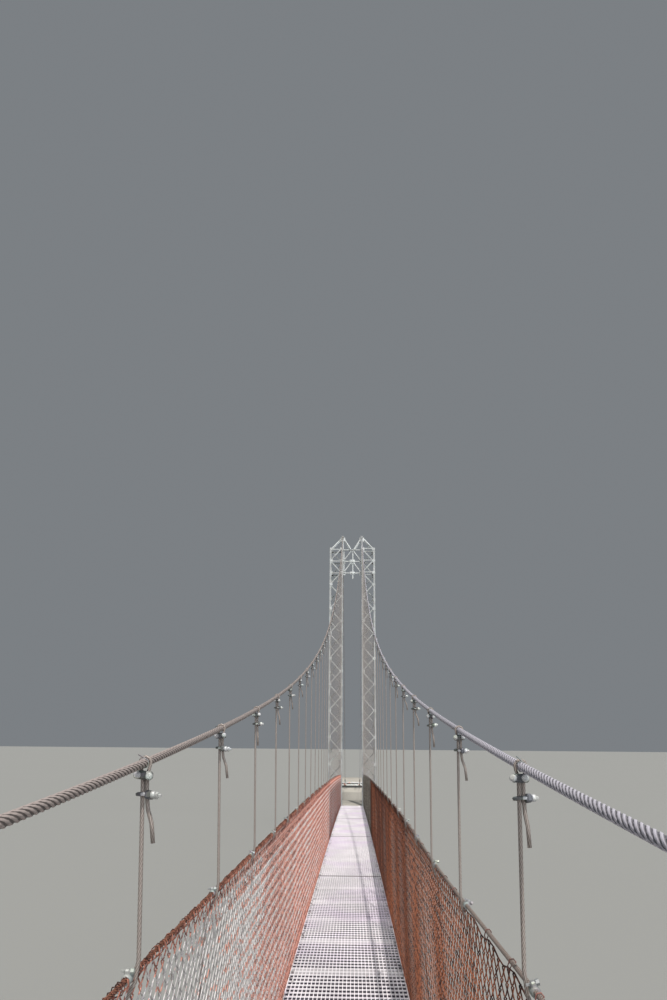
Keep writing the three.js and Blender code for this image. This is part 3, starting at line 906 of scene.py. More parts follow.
def rope_clip(dark, bright):
    """A wire rope clip round the origin: its saddle and nuts are at -Y and the ropes run along Z."""
    parts = [dress(bevel(block((0, -0.011, 0), CLIP_SADDLE), 0.004), dark)]
    for x in (-CLIP_BOLT_X, CLIP_BOLT_X):
        parts.append(dress(round_bar((x, -0.014, 0), *CLIP_BOLT, 5, "Y"), bright))
        parts.append(dress(bevel(round_bar((x, -0.022, 0), *CLIP_NUT, 6, "Y"), 0.002), bright))
    line = [
        (CLIP_BOLT_X * math.cos(a), 0.003 + CLIP_BOLT_X * math.sin(a), 0)
        for a in np.linspace(0, math.pi, 6)]
    parts.append(dress(tube_piece("bow", line, CLIP_BOW_RADIUS, 5, facing=(0, 0, 1)), dark))
    return joined("rope_clip", *parts)


class BRIDGE_OT_hangers(bpy.types.Operator):
    """Adds the wire rope hangers, looped over the cables, with their clips, eyes and seizing wires"""

    bl_idname = "bridge.hangers"
    bl_label = "Hangers"

    def execute(self, context):
        rng = np.random.default_rng(sizes().seed)
        rope = rope_finish(
            "hanger_wire", tint(174, 164, 158), tint(118, 108, 102), 0.0, HANGER_LAY, 0.001)
        zinc = zinc_finish("clip_zinc", 0.82, 0.9)
        # The saddle and bow get a much darker zinc than the nuts.
        dark = zinc_finish("clip_iron", 0.3, 0.6)
        clip = rope_clip(dark, zinc_finish("nut_zinc", 1.15, 0.6))
        for name, side in SIDES.items():
            lines = [hanger_line(side, y, rng.uniform(0.0, 0.024)) for y in HANGER_PLACES]
            radii = hanger_radii(len(lines[0]))
            hangers = tube_piece(f"hangers_{name}", lines, radii, 6, facing=(0, 1, 0))
            finished(dress(hangers, rope), "wire_rope")
            places = []
            for y in HANGER_PLACES:
                for drop, turn in ((FIRST_CLIP, 0.0), (SECOND_CLIP, math.pi / 2)):
                    height = cable_height(y) - drop
                    at = (side * hung_x(side, y, height), y, height)
                    tilt = (rng.normal(0, 0.06), rng.normal(0, 0.06), turn + rng.normal(0, 0.25))
                    places.append(place(at, tilt))
            clips = copies(f"hanger_clips_{name}", clip, places)
            finished(smooth(clips), "galvanised")
            self.seizings(name, side, rng)
            self.eyes(name, side, zinc)
        put_away(clip)
        return {"FINISHED"}

    def seizings(self, name, side, rng):
        """Thin wires round the cable that keep each loop from sliding, with an end that stands off."""
        wire = zinc_finish("seizing_wire", 0.55, 0.8)
        around = sizes().cable_radius + 0.001
        lines = []
        for y in HANGER_PLACES:
            aside = rng.choice([-1, 1]) * rng.uniform(0.008, 0.014)
            start = rng.uniform(1.0, 2.2)
            height = cable_height(y) + cable_slope(y) * aside
            line = [
                (side * CABLE_X + around * math.cos(angle), y + aside, height + around * math.sin(angle))
                for angle in np.linspace(start, start + 2 * math.pi, 9)]
            turn = start + SEIZING_END_TURN
            end = Vector(line[-1]) + Vector((math.cos(turn), 0.3, math.sin(turn))) * SEIZING_END
            lines.append(line + [tuple(end)])
        wires = tube_piece(f"seizing_wires_{name}", lines, SEIZING_RADIUS, 4, facing=(0, 1, 0))
        finished(dress(wires, wire), "galvanised")

    def eyes(self, name, side, zinc):
        """Eye bolts on the rail, with the thimble and clip of each hanger's foot."""
        bolt = round_bar((0, 0, 0.014), *EYE_BOLT, 8)
        nut = round_bar((0, 0, 0.006), *EYE_NUT, 6)
        radius, wire = EYE_RING
        line = [
            (radius * math.cos(a), 0, EYE_CENTRE + radius * math.sin(a))
            for a in np.linspace(-1.5, 4.7, 10)]
        ring = tube_piece("ring", line, wire, 6, facing=(0, 1, 0))
        clip = bevel(block((0, 0, 0.098), EYE_CLIP), 0.005)
        eye = joined("eye", bolt, nut, ring, clip)
        places = [place((side * HANGER_FOOT_X, y, rail_top(y))) for y in HANGER_PLACES]
        eyes = copies(f"hanger_eyes_{name}", eye, places)
        finished(smooth(dress(eyes, zinc)), "galvanised")
        put_away(eye)


# Hand ropes
ROPE_END = HALF_SPAN - LEG_SIZE / 2 - CHORD_SIZE / 2 - GAP
# Where the winding on the left rope and the rope's own strands are modelled closely
LACE_FINE = (6.0, 17.0)
LEFT_FINE = (6.0, 12.0)
LEFT_STEP = 0.01
LEFT_LAY = 0.09
RIGHT_LAY = 0.07
# Wires round the left rope and the mesh: pitch, points to a turn, reach and phase, and their radius
WINDINGS = (((0.053, 8, 0.0085, 0.0), 0.0017), ((0.031, 6, 0.0092, 2.0), 0.0015))
PLAIN_WINDING = ((4, 0.0095), 0.0017)
# Sleeve with its ear, bolt and nut at each hanger
SLEEVE = (0.0115, 0.026)
SLEEVE_EAR = (0.012, 0.018, 0.014)
SLEEVE_BOLT = (0.003, 0.028)
SLEEVE_NUT = (0.0065, 0.007)
SLEEVE_ASIDE = 0.026
# Distance of the ties on the right rope, their radius and that of their bend round it
TIE_STEP = 0.35
TIE_RADIUS = 0.0014
TIE_BEND = 0.0085


def rope_line(side, ys):
    return np.column_stack([side * rope_x(ys), ys, rope_height(side, ys)])


def winding(side, start, end, pitch, per_turn, reach, phase=0.0):
    """A wire wound unevenly round a hand rope."""
    count = int((end - start) / pitch * per_turn)
    ys = np.linspace(start, end, count)
    angle = 2 * math.pi * (ys - start) / pitch + 1.4 * np.sin(9.1 * ys + phase) + phase
    line = rope_line(side, ys)
    reach = reach * (1 + 0.16 * np.sin(ys * 17.3 + phase) + 0.14 * np.sin(ys * 41.1))
    line[:, 0] += reach * np.cos(angle)
    line[:, 2] += reach * np.sin(angle) - 0.003
    return line


def tie_line(y, lean):
    """A wire from the right mesh up round the hand rope and back."""
    x, height, foot = rope_x(y), rope_height(1, y), fence_top(1, y)
    half_way = (height + foot) / 2
    line = [(x - 0.004, y + lean, foot - 0.006), (x - 0.009, y + 0.4 * lean, half_way)]
    for angle in np.radians([190, 130, 70, 10, -50]):
        line.append((x + TIE_BEND * math.cos(angle), y, height + TIE_BEND * math.sin(angle)))
    line.append((x + 0.002, y + 0.5 * lean + 0.004, half_way))
    line.append((x - 0.001, y + lean + 0.008, foot - 0.004))
    return line


class BRIDGE_OT_hand_ropes(bpy.types.Operator):
    """Adds the hand ropes, the wires that hold the mesh to them and the clips at the hangers"""

    bl_idname = "bridge.hand_ropes"
    bl_label = "Hand Ropes"

    def execute(self, context):
        self.left_rope()
        self.right_rope()
        self.crossing_clips()
        return {"FINISHED"}

    def left_rope(self):
        """The rusty rope, and the wires that are wound round it and the mesh."""
        finish = rope_finish("rusty_rope", tint(146, 98, 78), tint(58, 36, 30), 0.6, LEFT_LAY, 0.0025)
        ys = np.concatenate([
            np.arange(-ROPE_END, LEFT_FINE[0], COARSE_STEP), np.arange(*LEFT_FINE, LEFT_STEP),
            np.arange(LEFT_FINE[1], ROPE_END, COARSE_STEP), [ROPE_END]])
        rope = laid_rope(
            "rusty_hand_rope", rope_line(-1, ys), sizes().rope_radius, LEFT_LAY, LEFT_FINE, 0.22)
        finished(dress(rope, finish), "rusty_rope", "hand_rope_left")
        lace = Bundle()
        for wound, radius in WINDINGS:
            lace.add(winding(-1, *LACE_FINE, *wound), radius, 3)
        wound, radius = PLAIN_WINDING
        for start, end in ((-ROPE_END + 0.02, LACE_FINE[0]), (LACE_FINE[1], ROPE_END - 0.02)):
            lace.add(winding(-1, start, end, sizes().mesh_width, *wound), radius, 3)
        finish = wire_finish("lace_wire", tint(160, 104, 86), tint(84, 48, 40), (0.1, 0.1))
        finished(dress(lace.piece("lacing_wire"), finish), "rusty_mesh")

    def right_rope(self):
        """The plainer rope, and the ties that hold the mesh to it."""
        finish = rope_finish(
            "plain_rope", tint(158, 144, 136), tint(96, 84, 78), 0.3, RIGHT_LAY, 0.0012)
        ys = np.concatenate([np.arange(-ROPE_END, ROPE_END, COARSE_STEP), [ROPE_END]])
        rope = tube_piece("plain_hand_rope", rope_line(1, ys), sizes().rope_radius, 10)
        finished(dress(rope, finish), "wire_rope", "hand_rope_right")
        rng = np.random.default_rng(sizes().seed + 1)
        lines = []
        for y in np.arange(-ROPE_END + 0.15, ROPE_END - 0.1, TIE_STEP):
            lines.append(tie_line(y + rng.uniform(-0.05, 0.05), rng.uniform(-0.03, 0.03)))
        finish = wire_finish("tie_wire", tint(136, 92, 84), tint(84, 56, 50), (0.35, 0.35))
        ties = tube_piece("rope_ties", lines, TIE_RADIUS, 4, facing=(0, 1, 0))
        finished(dress(ties, finish), "pale_mesh")

    def crossing_clips(self):
        """Sleeves on the hand rope, each with a bolt that holds the hanger that passes."""
        zinc = zinc_finish("tie_clip_zinc", 0.72, 0.7)
        sleeve = bevel(round_bar((0, 0, 0), *SLEEVE, 8, "Y"), 0.003)
        ear = bevel(block((0, 0, 0.012), SLEEVE_EAR), 0.003)
        bolt = round_bar((0, 0, 0.014), *SLEEVE_BOLT, 5, "X")
        nut = round_bar((0.0095, 0, 0.014), *SLEEVE_NUT, 6, "X")
        clip = joined("crossing", sleeve, ear, bolt, nut)
        for name, side in SIDES.items():
            rng = np.random.default_rng(sizes().seed + 2 + side)
            places = []
            for y in HANGER_PLACES:
                at = (side * rope_x(y), y - SLEEVE_ASIDE, rope_height(side, y - SLEEVE_ASIDE))
                places.append(place(at, (0, rng.normal(0, 0.5), 0)))
            clips = copies(f"crossing_clips_{name}", clip, places)
            finished(smooth(dress(clips, zinc)), "galvanised")
        put_away(clip)


# Mesh fences: how far the left and the right one bulge, and how far the right one hangs loose
BULGE = (0.0025, 0.007)
SLIP = 0.008
LOOSE_UNTIL = 8.1
LOOSE_FADE = 0.5
# Half the length of a hook, its offset in wire radii, and where the mesh is knotted wire by wire
HOOK = 0.003
WEAVE = 1.3
KNOT_REACH = (6.6, 22.0)
EDGE_STEP = 0.07
LAP_BAR = (0.04, 0.005)


def fence_top(side, y):
    """Height of the mesh's upper edge: laced tight on the left, and loose for a stretch on the right."""
    if side < 0:
        return rope_height(side, y) - 0.003
    loose = np.clip((LOOSE_UNTIL - y) / LOOSE_FADE, 0, 1) * np.clip((y + LOOSE_UNTIL) / LOOSE_FADE, 0, 1)
    ripple = 0.5 + 0.5 * np.cos(2 * math.pi * y / TIE_STEP + 1.3 * np.sin(1.7 * y))
    return rope_height(side, y) - 0.006 - 0.005 * ripple - loose * (0.01 + 0.012 * ripple)


def fence_surface(side, y, rise):
    """Places on a fence, for a place along it and a rise from 0 at its foot to 1 at its top."""
    y, rise = np.broadcast_arrays(y, rise)
    foot = deck_top(y) - FENCE_SINK
    height = foot + (fence_top(side, y) - foot) * rise
    wave = np.sin(2.1 * y + side) + 0.7 * np.sin(5.3 * y + 2 * side)
    bulge = BULGE[side > 0] * wave * 4 * rise * (1 - rise)
    lean = FENCE_FOOT_X + (rope_x(y) - FENCE_FOOT_X) * rise + bulge
    slip = SLIP * np.sin(3.1 * y + 4 * rise) * np.sin(math.pi * rise)
    return np.stack([side * lean, y + slip, height], axis=-1)


def knotted_mesh(side, start, end):
    """Zigzag wires side by side, which change faces of the mesh where they hook together."""
    half = sizes().mesh_width / 2
    wire = sizes().wire_radius
    wires = np.arange(round(start / half), round(end / half))[:, None]
    rows = np.arange(HALF_ROWS + 1)
    beyond = (rows + wires) % 2
    face = np.where(beyond, 1, -1)
    along = (wires + beyond) * half + face * wire
    rise = rows / HALF_ROWS
    hook = HOOK / ROPE_HEIGHT
    lower = fence_surface(side, along, np.clip(rise - hook, 0, 1))
    upper = fence_surface(side, along, np.clip(rise + hook, 0, 1))
    lower[..., 0] -= side * face * wire * WEAVE
    upper[..., 0] += side * face * wire * WEAVE
    return np.stack([lower, upper], axis=2).reshape(len(wires), -1, 3)


def crossed_mesh(side, start, end, pieces=4):
    """Straight wires that cross, for stretches that are seen from further away."""
    width = sizes().mesh_width
    reach = HALF_ROWS * width / 2
    rise = np.linspace(0, 1, pieces + 1)
    lines = []
    for lean in (-1, 1):
        for first in np.arange(start - reach, end + reach, width):
            along = first + lean * reach * rise
            inside = np.clip(along, start, end)
            if inside.max() - inside.min() < 0.5 * width:
                continue
            reached = (inside - first) / (lean * reach)
            low, high = max(0.0, reached.min()), min(1.0, reached.max())
            part = np.linspace(low, high, pieces + 1)
            line = fence_surface(side, first + lean * reach * part, part)
            line[:, 0] += side * lean * sizes().wire_radius
            lines.append(line)
    return np.array(lines)


class BRIDGE_OT_fences(bpy.types.Operator):
    """Adds the rolls of knotted mesh between the deck's edges and the hand ropes"""

    bl_idname = "bridge.fences"
    bl_label = "Mesh Fences"

    def execute(self, context):
        finishes = {
            "left": wire_finish(
                "pale_fence_wire", tint(214, 150, 134), tint(118, 64, 52), (0.95, 0.05), (6.8, 10.5),
                rows=0.17),
            "right": wire_finish(
                "rusty_fence_wire", colour_of("golden_rust"), colour_of("dark_rust"), (-0.4, -0.4),
                rows=0.1, shade=0.7, grey_from=(24.0, 27.0)),
        }
        slots = {"left": "pale_mesh", "right": "rusty_mesh"}
        for name, side in SIDES.items():
            for index in range(1, len(FENCE_JOINTS)):
                roll = self.roll(side, FENCE_JOINTS[index - 1], FENCE_JOINTS[index])
                piece = roll.piece(f"mesh_roll_{name}_{index}")
                finished(dress(piece, finishes[name]), slots[name], f"fence_{name}_{index}")
            self.lap_bars(name, side)
        return {"FINISHED"}

    def roll(self, side, start, end):
        """One roll: knotted where a walker stands close to it, and crossed wires beyond."""
        radius = sizes().wire_radius
        roll = Bundle()
        near, far = np.clip(KNOT_REACH, start, end)
        for first, last in ((start, near), (far, end)):
            if last > first:
                roll.add(crossed_mesh(side, first, last), radius, 3)
        if far > near:
            roll.add(knotted_mesh(side, near, far), radius, 3)
        ys = np.linspace(start, end, int((end - start) / EDGE_STEP))
        for rise in (0.0, 1.0):
            roll.add(fence_surface(side, ys, rise), 1.1 * radius, 4)
        return roll

    def lap_bars(self, name, side):
        """Flat bars down the fence where the outer rolls are joined."""
        zinc = zinc_finish(f"lap_zinc_{name}", 0.9, 0.3)
        parts = []
        for y in (FENCE_JOINTS[1], FENCE_JOINTS[-2]):
            foot, top = fence_surface(side, y, 0.0), fence_surface(side, y, 1.0)
            length = math.dist(foot, top)
            bar = block((0, 0, length / 2), (LAP_BAR[1], LAP_BAR[0], length), "bar")
            bar.data.transform(between(foot, top, (1, 0, 0)))
            parts.append(bar)
        finished(dress(joined(f"lap_bars_{name}", *parts), zinc), "galvanised")


# Grating deck
BAR_THICKNESS = 0.0055
BAR_SINK = 0.0005
CROSS_DEPTH = 0.03
CROSS_THICKNESS = 0.007
EDGE_THICKNESS = 0.006
BAR_STEPS = 4
# How far down the cross bars their painted shade starts, half the width of its edge, and that of litter
# dirt
PAINTED_SHADE_DEPTH = 0.009
PAINTED_SHADE_EDGE = 0.0015
DIRT_WIDTH = 0.07


def flat_bar(centre, size, steps=1):
    """A flat bar along Y, cut across where it follows the camber."""
    bar = block(centre, size, "flat_bar")
    if steps > 1:
        start = centre[1] - size[1] / 2
        cuts = []
        for i in range(1, steps):
            at = real(0, start + size[1] * i / steps, 0)
            cuts.append(lambda at=at: bpy.ops.mesh.bisect(plane_co=at, plane_no=(0, 1, 0)))
            cuts.append(lambda: bpy.ops.mesh.select_all(action="SELECT"))
        shape(bar, everything, *cuts)
    return bar


class BRIDGE_OT_deck_panels(bpy.types.Operator):
    """Adds the grating panels, bar by bar"""

    bl_idname = "bridge.deck_panels"
    bl_label = "Grating Panels"

    def execute(self, context):
        finish = grating_finish()
        joints = [-DECK_END, *np.arange(FIRST_JOINT, DECK_END, PANEL_LENGTH), DECK_END]
        for number in range(1, len(joints)):
            start, end = joints[number - 1] + JOINT_GAP / 2, joints[number] - JOINT_GAP / 2
            panel = self.panel(start, end)
            panel.name = f"grating_{number:02d}"
            follow_camber(panel)
            finished(dress(panel, finish), "grating", f"deck_panel_{number:02d}")
        return {"FINISHED"}

    def panel(self, start, end):
        """A panel with its top at the origin's height: bars, cross bars, edge strips and end strips."""
        length, middle = end - start, (start + end) / 2
        half_width = DECK_WIDTH / 2
        steps = BAR_STEPS if length > 2 else 1
        inner = half_width - EDGE_THICKNESS
        count = round(2 * inner / sizes().bar_pitch) - 1
        pitch = 2 * inner / (count + 1)
        bars = flat_bar(
            (-inner + pitch, middle, -BAR_SINK - CROSS_DEPTH / 2),
            (BAR_THICKNESS, length, CROSS_DEPTH), steps)
        array(bars, count, (pitch, 0, 0))
        cross_count = max(round(length / sizes().cross_pitch) - 1, 1)
        cross_pitch = length / (cross_count + 1)
        cross = block(
            (0, start + cross_pitch, -CROSS_DEPTH / 2),
            (2 * inner, CROSS_THICKNESS, CROSS_DEPTH), "cross")
        array(cross, cross_count, (0, cross_pitch, 0))
        edges = flat_bar(
            (-half_width + EDGE_THICKNESS / 2, middle, -GRATING_DEPTH / 2),
            (EDGE_THICKNESS, length, GRATING_DEPTH), steps)
        array(edges, 2, (DECK_WIDTH - EDGE_THICKNESS, 0, 0))
        ends = block(
            (0, start + EDGE_THICKNESS / 2, -GRATING_DEPTH / 2),
            (2 * inner, EDGE_THICKNESS, GRATING_DEPTH), "ends")
        array(ends, 2, (0, length - EDGE_THICKNESS, 0))
        return joined("grating", bars, cross, edges, ends)


# Floor frame
RAIL_WALL = 0.005
RAIL_STEPS = 26
BEAM_WIDTH = 0.05
BEAM_DEPTH = 0.09
CLEAT = (0.07, 0.006, 0.07)
CLEAT_X = 0.4
CLEAT_BOLTS = (-0.03, -0.06)
# Splice plate, and the places of its bolts along the rail and over the plate's middle
SPLICE = (0.006, 0.22, 0.09)
SPLICE_BOLTS = [(y, z) for y in (-0.08, -0.03, 0.03, 0.08) for z in (-0.025, 0.025)]
BOLT_HEAD = (0.008, 0.012)
PLATE_BEVEL = 0.0015


class BRIDGE_OT_floor_frame(bpy.types.Operator):
    """Adds the side rails, cross beams, splice plates and bolts under the grating"""

    bl_idname = "bridge.floor_frame"
    bl_label = "Floor Frame"

    def execute(self, context):
        zinc = zinc_finish("frame_zinc", 0.92, 0.5)
        parts = []
        for side in SIDES.values():
            parts.append(self.rail(side))
            parts.append(self.splices(side))
        beam = self.beam()
        ys = [-END_BEAM_Y, *HANGER_PLACES, END_BEAM_Y]
        beams = copies("beams", beam, [place((0, y, frame_top(y) - deck_top(y))) for y in ys])
        put_away(beam)
        parts.append(beams)
        frame_piece = follow_camber(joined("deck_frame", *parts))
        finished(smooth(dress(frame_piece, zinc), 20), "galvanised", "floor_frame")
        return {"FINISHED"}

    def rail(self, side):
        """A channel with its back to the deck, cut where it follows the camber."""
        width = RAIL_OUTER_X - RAIL_INNER_X
        top = rail_top(0) - deck_top(0)
        centre = (side * (RAIL_INNER_X + RAIL_OUTER_X) / 2, 0, top - RAIL_DEPTH / 2)
        rail = flat_bar(centre, (width, 2 * DECK_END, RAIL_DEPTH), RAIL_STEPS)
        shape(
            rail, lambda c, n: n.x * side > 0.9,
            inset(RAIL_WALL), push(side * (RAIL_WALL - width), 0, 0))
        return rail

    def splices(self, side):
        """Plates with four bolts on the back of the rail at each panel joint."""
        face = side * (RAIL_OUTER_X - 0.034)
        plate = bevel(block((0, 0, 0), SPLICE), PLATE_BEVEL)
        bolts = [round_bar((side * 0.007, y, z), *BOLT_HEAD, 6, "X") for y, z in SPLICE_BOLTS]
        template = joined("splice", plate, *bolts)
        middle = rail_top(0) - deck_top(0) - RAIL_DEPTH / 2
        places = [place((face, y, middle)) for y in np.arange(FIRST_JOINT, DECK_END, PANEL_LENGTH)]
        splices = copies("splices", template, places)
        put_away(template)
        return splices

    def beam(self):
        """A box beam with end cleats, its top at the origin."""
        size = (2 * RAIL_INNER_X - 0.004, BEAM_WIDTH, BEAM_DEPTH)
        parts = [bevel(block((0, 0, -BEAM_DEPTH / 2), size), 0.004)]
        for side in (-1, 1):
            parts.append(block((side * CLEAT_X, -0.029, -BEAM_DEPTH / 2), CLEAT, "cleat"))
            for z in CLEAT_BOLTS:
                parts.append(round_bar((side * CLEAT_X, -0.035, z), *BOLT_HEAD, 6, "Y"))
        return joined("beam", *parts)


# Towers
TOWER_FOOT = DECK_END_HEIGHT + GAP
BAY = LEG_HEIGHT / LEG_BAYS
TOP_BAR = 0.04
CHORD_WALL = 0.007
BRACE_LEG = 0.045
BRACE_WALL = 0.005
# How far inside the chords the braces end, and how far over or under the corners of their bay
BRACE_INSET = 0.05
BRACE_RISE = 0.04
# Level bars, and both gussets of a level, are only at the foot and in the top bays
LEVEL_BARS = (0, LEG_BAYS - 2, LEG_BAYS - 1, LEG_BAYS)
FULL_GUSSETS = 3
GUSSET = 0.11
PLATE_BOLT = (0.0085, 0.009)
GUSSET_BOLTS = ((-0.03, -0.03), (-0.03, 0.03), (0.03, -0.015), (0.03, 0.025))
GUSSET_INSET = 0.035
GUSSET_OUT = 0.003
# At the foot, the gussets and the level bars stand higher, clear of the foot plate
FOOT_GUSSET_RISE = 0.1
FOOT_BAR_RISE = 0.06
# Foot plate, with the places of its bolts and ribs off the leg's middle
FOOT_PLATE = (0.6, 0.6, 0.03)
FOOT_BOLT_AT = (0.14, 0.255)
FOOT_BOLT = (0.012, 0.1)
FOOT_NUT = (0.022, 0.02)
FOOT_RIB_AT = (0.19, 0.25)
FOOT_RIB = (0.09, 0.008, 0.11)
FOOT_RIB_SLOPE = 0.08


def bolted_plate(width, height, bolts, thickness=0.006):
    """A plate in the XZ plane with its bolts towards -Y."""
    plate = bevel(block((0, 0, 0), (width, thickness, height)), PLATE_BEVEL)
    heads = [round_bar((x, -thickness / 2 - 0.004, z), *PLATE_BOLT, 6, "Y") for x, z in bolts]
    return joined("gusset", plate, *heads)


def facing_out(at, normal):
    """A place whose -Y looks along a level normal."""
    return place(at, (0, 0, math.atan2(normal[0], -normal[1])))


def strut(start, end, facing, leg, wall=BRACE_WALL):
    bar = angle_iron(leg, wall, math.dist(start, end), "strut")
    bar.data.transform(between(start, end, facing))
    return bar


class BRIDGE_OT_towers(bpy.types.Operator):
    """Adds the lattice legs of both towers: angle bars, gussets, bolts and foot plates"""

    bl_idname = "bridge.towers"
    bl_label = "Tower Legs"

    def execute(self, context):
        # Painted shade: the bars of the legs get a darker copy of the zinc than the gussets.
        zinc = zinc_finish("tower_zinc", 0.8, 0.35)
        bright = zinc_finish("gusset_zinc", 1.0, 0.2)
        for end_name, end in ENDS.items():
            for side_name, side in SIDES.items():
                leg = self.leg(side, end, zinc, bright)
                leg.name = f"lattice_leg_{end_name}_{side_name}"
                node = f"tower_leg_{end_name}_{side_name}"
                finished(smooth(leg, 20), "galvanised", node)
        return {"FINISHED"}

    def leg(self, side, end, zinc, bright):
        """A leg: its four chords, the bars and gussets of its four faces, and its foot."""
        middle = Vector((side * (INNER_CHORD_X + LEG_SIZE / 2), end * HALF_SPAN, 0))
        half = LEG_SIZE / 2
        corners = [
            middle + Vector((side * x * half, end * y * half, 0))
            for x, y in ((-1, -1), (1, -1), (1, 1), (-1, 1))]
        faces = [self.face_places(i, corners[i], corners[(i + 1) % 4], middle) for i in range(4)]
        diagonals, levels, gussets = (sum(places, []) for places in zip(*faces))
        parts = [self.chords(corners, middle)]
        length = math.hypot(LEG_SIZE - 2 * BRACE_INSET, BAY - 2 * BRACE_RISE)
        brace = angle_iron(BRACE_LEG, BRACE_WALL, length, "brace")
        level_bar = angle_iron(BRACE_LEG, BRACE_WALL, LEG_SIZE - CHORD_SIZE, "level_bar")
        gusset = bolted_plate(GUSSET, GUSSET, GUSSET_BOLTS)
        parts.append(copies("braces", brace, diagonals))
        parts.append(copies("level_bars", level_bar, levels))
        parts.append(self.foot(middle))
        for part in parts:
            dress(part, zinc)
        parts.append(dress(copies("gussets", gusset, gussets), bright))
        put_away(brace, level_bar, gusset)
        return joined("leg", *parts)

    def face_places(self, face, corner, other, middle):
        """Places of the diagonals, level bars and gussets on the leg's face between two corners."""
        edge = CHORD_SIZE / 2
        across = (other - corner).normalized()
        normal = ((corner + other) / 2 - middle).normalized()
        plane = normal * (edge - CHORD_WALL)

        def inward(chord):
            return across if chord is corner else -across

        diagonals, levels, gussets = [], [], []
        for level in range(LEG_BAYS + 1):
            height = TOWER_TOP - TOP_BAR / 2 - (LEG_BAYS - level) * BAY
            low, top = (corner, other) if (level + face) % 2 else (other, corner)
            if level > 0:
                step = inward(low) * BRACE_INSET
                start = low + plane + step + Vector((0, 0, height - BAY + BRACE_RISE))
                finish = top + plane - step + Vector((0, 0, height - BRACE_RISE))
                diagonals.append(between(start, finish, -normal))
            for chord in (corner, other):
                if chord is top or level > LEG_BAYS - FULL_GUSSETS:
                    rise = Vector((0, 0, height + (0 if level else FOOT_GUSSET_RISE)))
                    at = chord + inward(chord) * GUSSET_INSET + normal * (edge + GUSSET_OUT) + rise
                    gussets.append(facing_out(at, normal))
            if level in LEVEL_BARS:
                rise = Vector((0, 0, height + (0 if level else FOOT_BAR_RISE)))
                start = corner + plane + across * edge + rise
                levels.append(between(start, other + plane - across * edge + rise, -normal))
        return diagonals, levels, gussets

    def chords(self, corners, middle):
        """The four corner angles, each with its open side towards the middle of the leg."""
        chord = angle_iron(CHORD_SIZE, CHORD_WALL, TOWER_TOP - TOWER_FOOT, "chord")
        places = []
        for corner in corners:
            inward = ((middle.x > corner.x) * 2 - 1, (middle.y > corner.y) * 2 - 1)
            quarter = {(1, 1): 0, (-1, 1): 1, (-1, -1): 2, (1, -1): 3}[inward]
            x, y = (c - way * CHORD_SIZE / 2 for c, way in zip(corner, inward))
            places.append(place((x, y, TOWER_FOOT), (0, 0, quarter * math.pi / 2)))
        chords = copies("chords", chord, places)
        put_away(chord)
        return chords

    def foot(self, middle):
        """The foot plate with its anchor bolts and stiffeners."""
        parts = [bevel(block((middle.x, middle.y, TOWER_FOOT + FOOT_PLATE[2] / 2), FOOT_PLATE), 0.004)]
        for x in (-1, 1):
            for y in (-1, 1):
                at = (middle.x + FOOT_BOLT_AT[0] * x, middle.y + FOOT_BOLT_AT[1] * y)
                parts.append(round_bar((*at, TOWER_FOOT + 0.06), *FOOT_BOLT, 8))
                parts.append(round_bar((*at, TOWER_FOOT + 0.045), *FOOT_NUT, 6))
                at = (middle.x + FOOT_RIB_AT[0] * x, middle.y + FOOT_RIB_AT[1] * y, TOWER_FOOT + 0.085)
                rib = block(at, FOOT_RIB)
                tip = middle.x + (FOOT_RIB_AT[0] - FOOT_RIB[0] / 2) * x
                shift(
                    rib, lambda v: abs(v.x - tip) < 0.002 and v.z > TOWER_FOOT + 0.1,
                    (0, 0, -FOOT_RIB_SLOPE))
                parts.append(rib)
        return joined("foot", *parts)


# Portal braces and saddle peaks
PORTAL_BAR = 0.045
PORTAL_BAY = 0.51
PORTAL_STUB = 0.23
PORTAL_PLATE_OUT = 0.012
PEAK_FEET_X = (0.9, 0.09)
PEAK_BAR = (0.045, 0.006)
PEAK_BAR_OUT = 0.012
PEAK_POST = 0.08
PEAK_PLATE = (0.13, 0.12, 0.016)
PEAK_BOLT_AT = 0.045
PEAK_BOLT = (0.009, 0.014)
# The share of their foot's distance that the leaning bars keep at the top
PEAK_HEAD_SHARE = 0.06
CHEEK = (0.19, 0.17)
CHEEK_THICKNESS = 0.01
CHEEK_OUT = 0.048
CHEEK_DROP = 0.09
CHEEK_BOLTS = [(x, z) for x in (-0.065, 0, 0.065) for z in (-0.05, 0.045)]
# The shoe under the cable: its width, its depth below the groove, half the groove's width and its lips
SADDLE_WIDTH = 0.1
SADDLE_DEPTH = 0.04
SADDLE_GROOVE = 0.016
SADDLE_LIP = 0.014
SADDLE_LIP_RISE = 0.028
SADDLE_TURNS = 10
CABLE_ROOM = CABLE_RADIUS + GAP


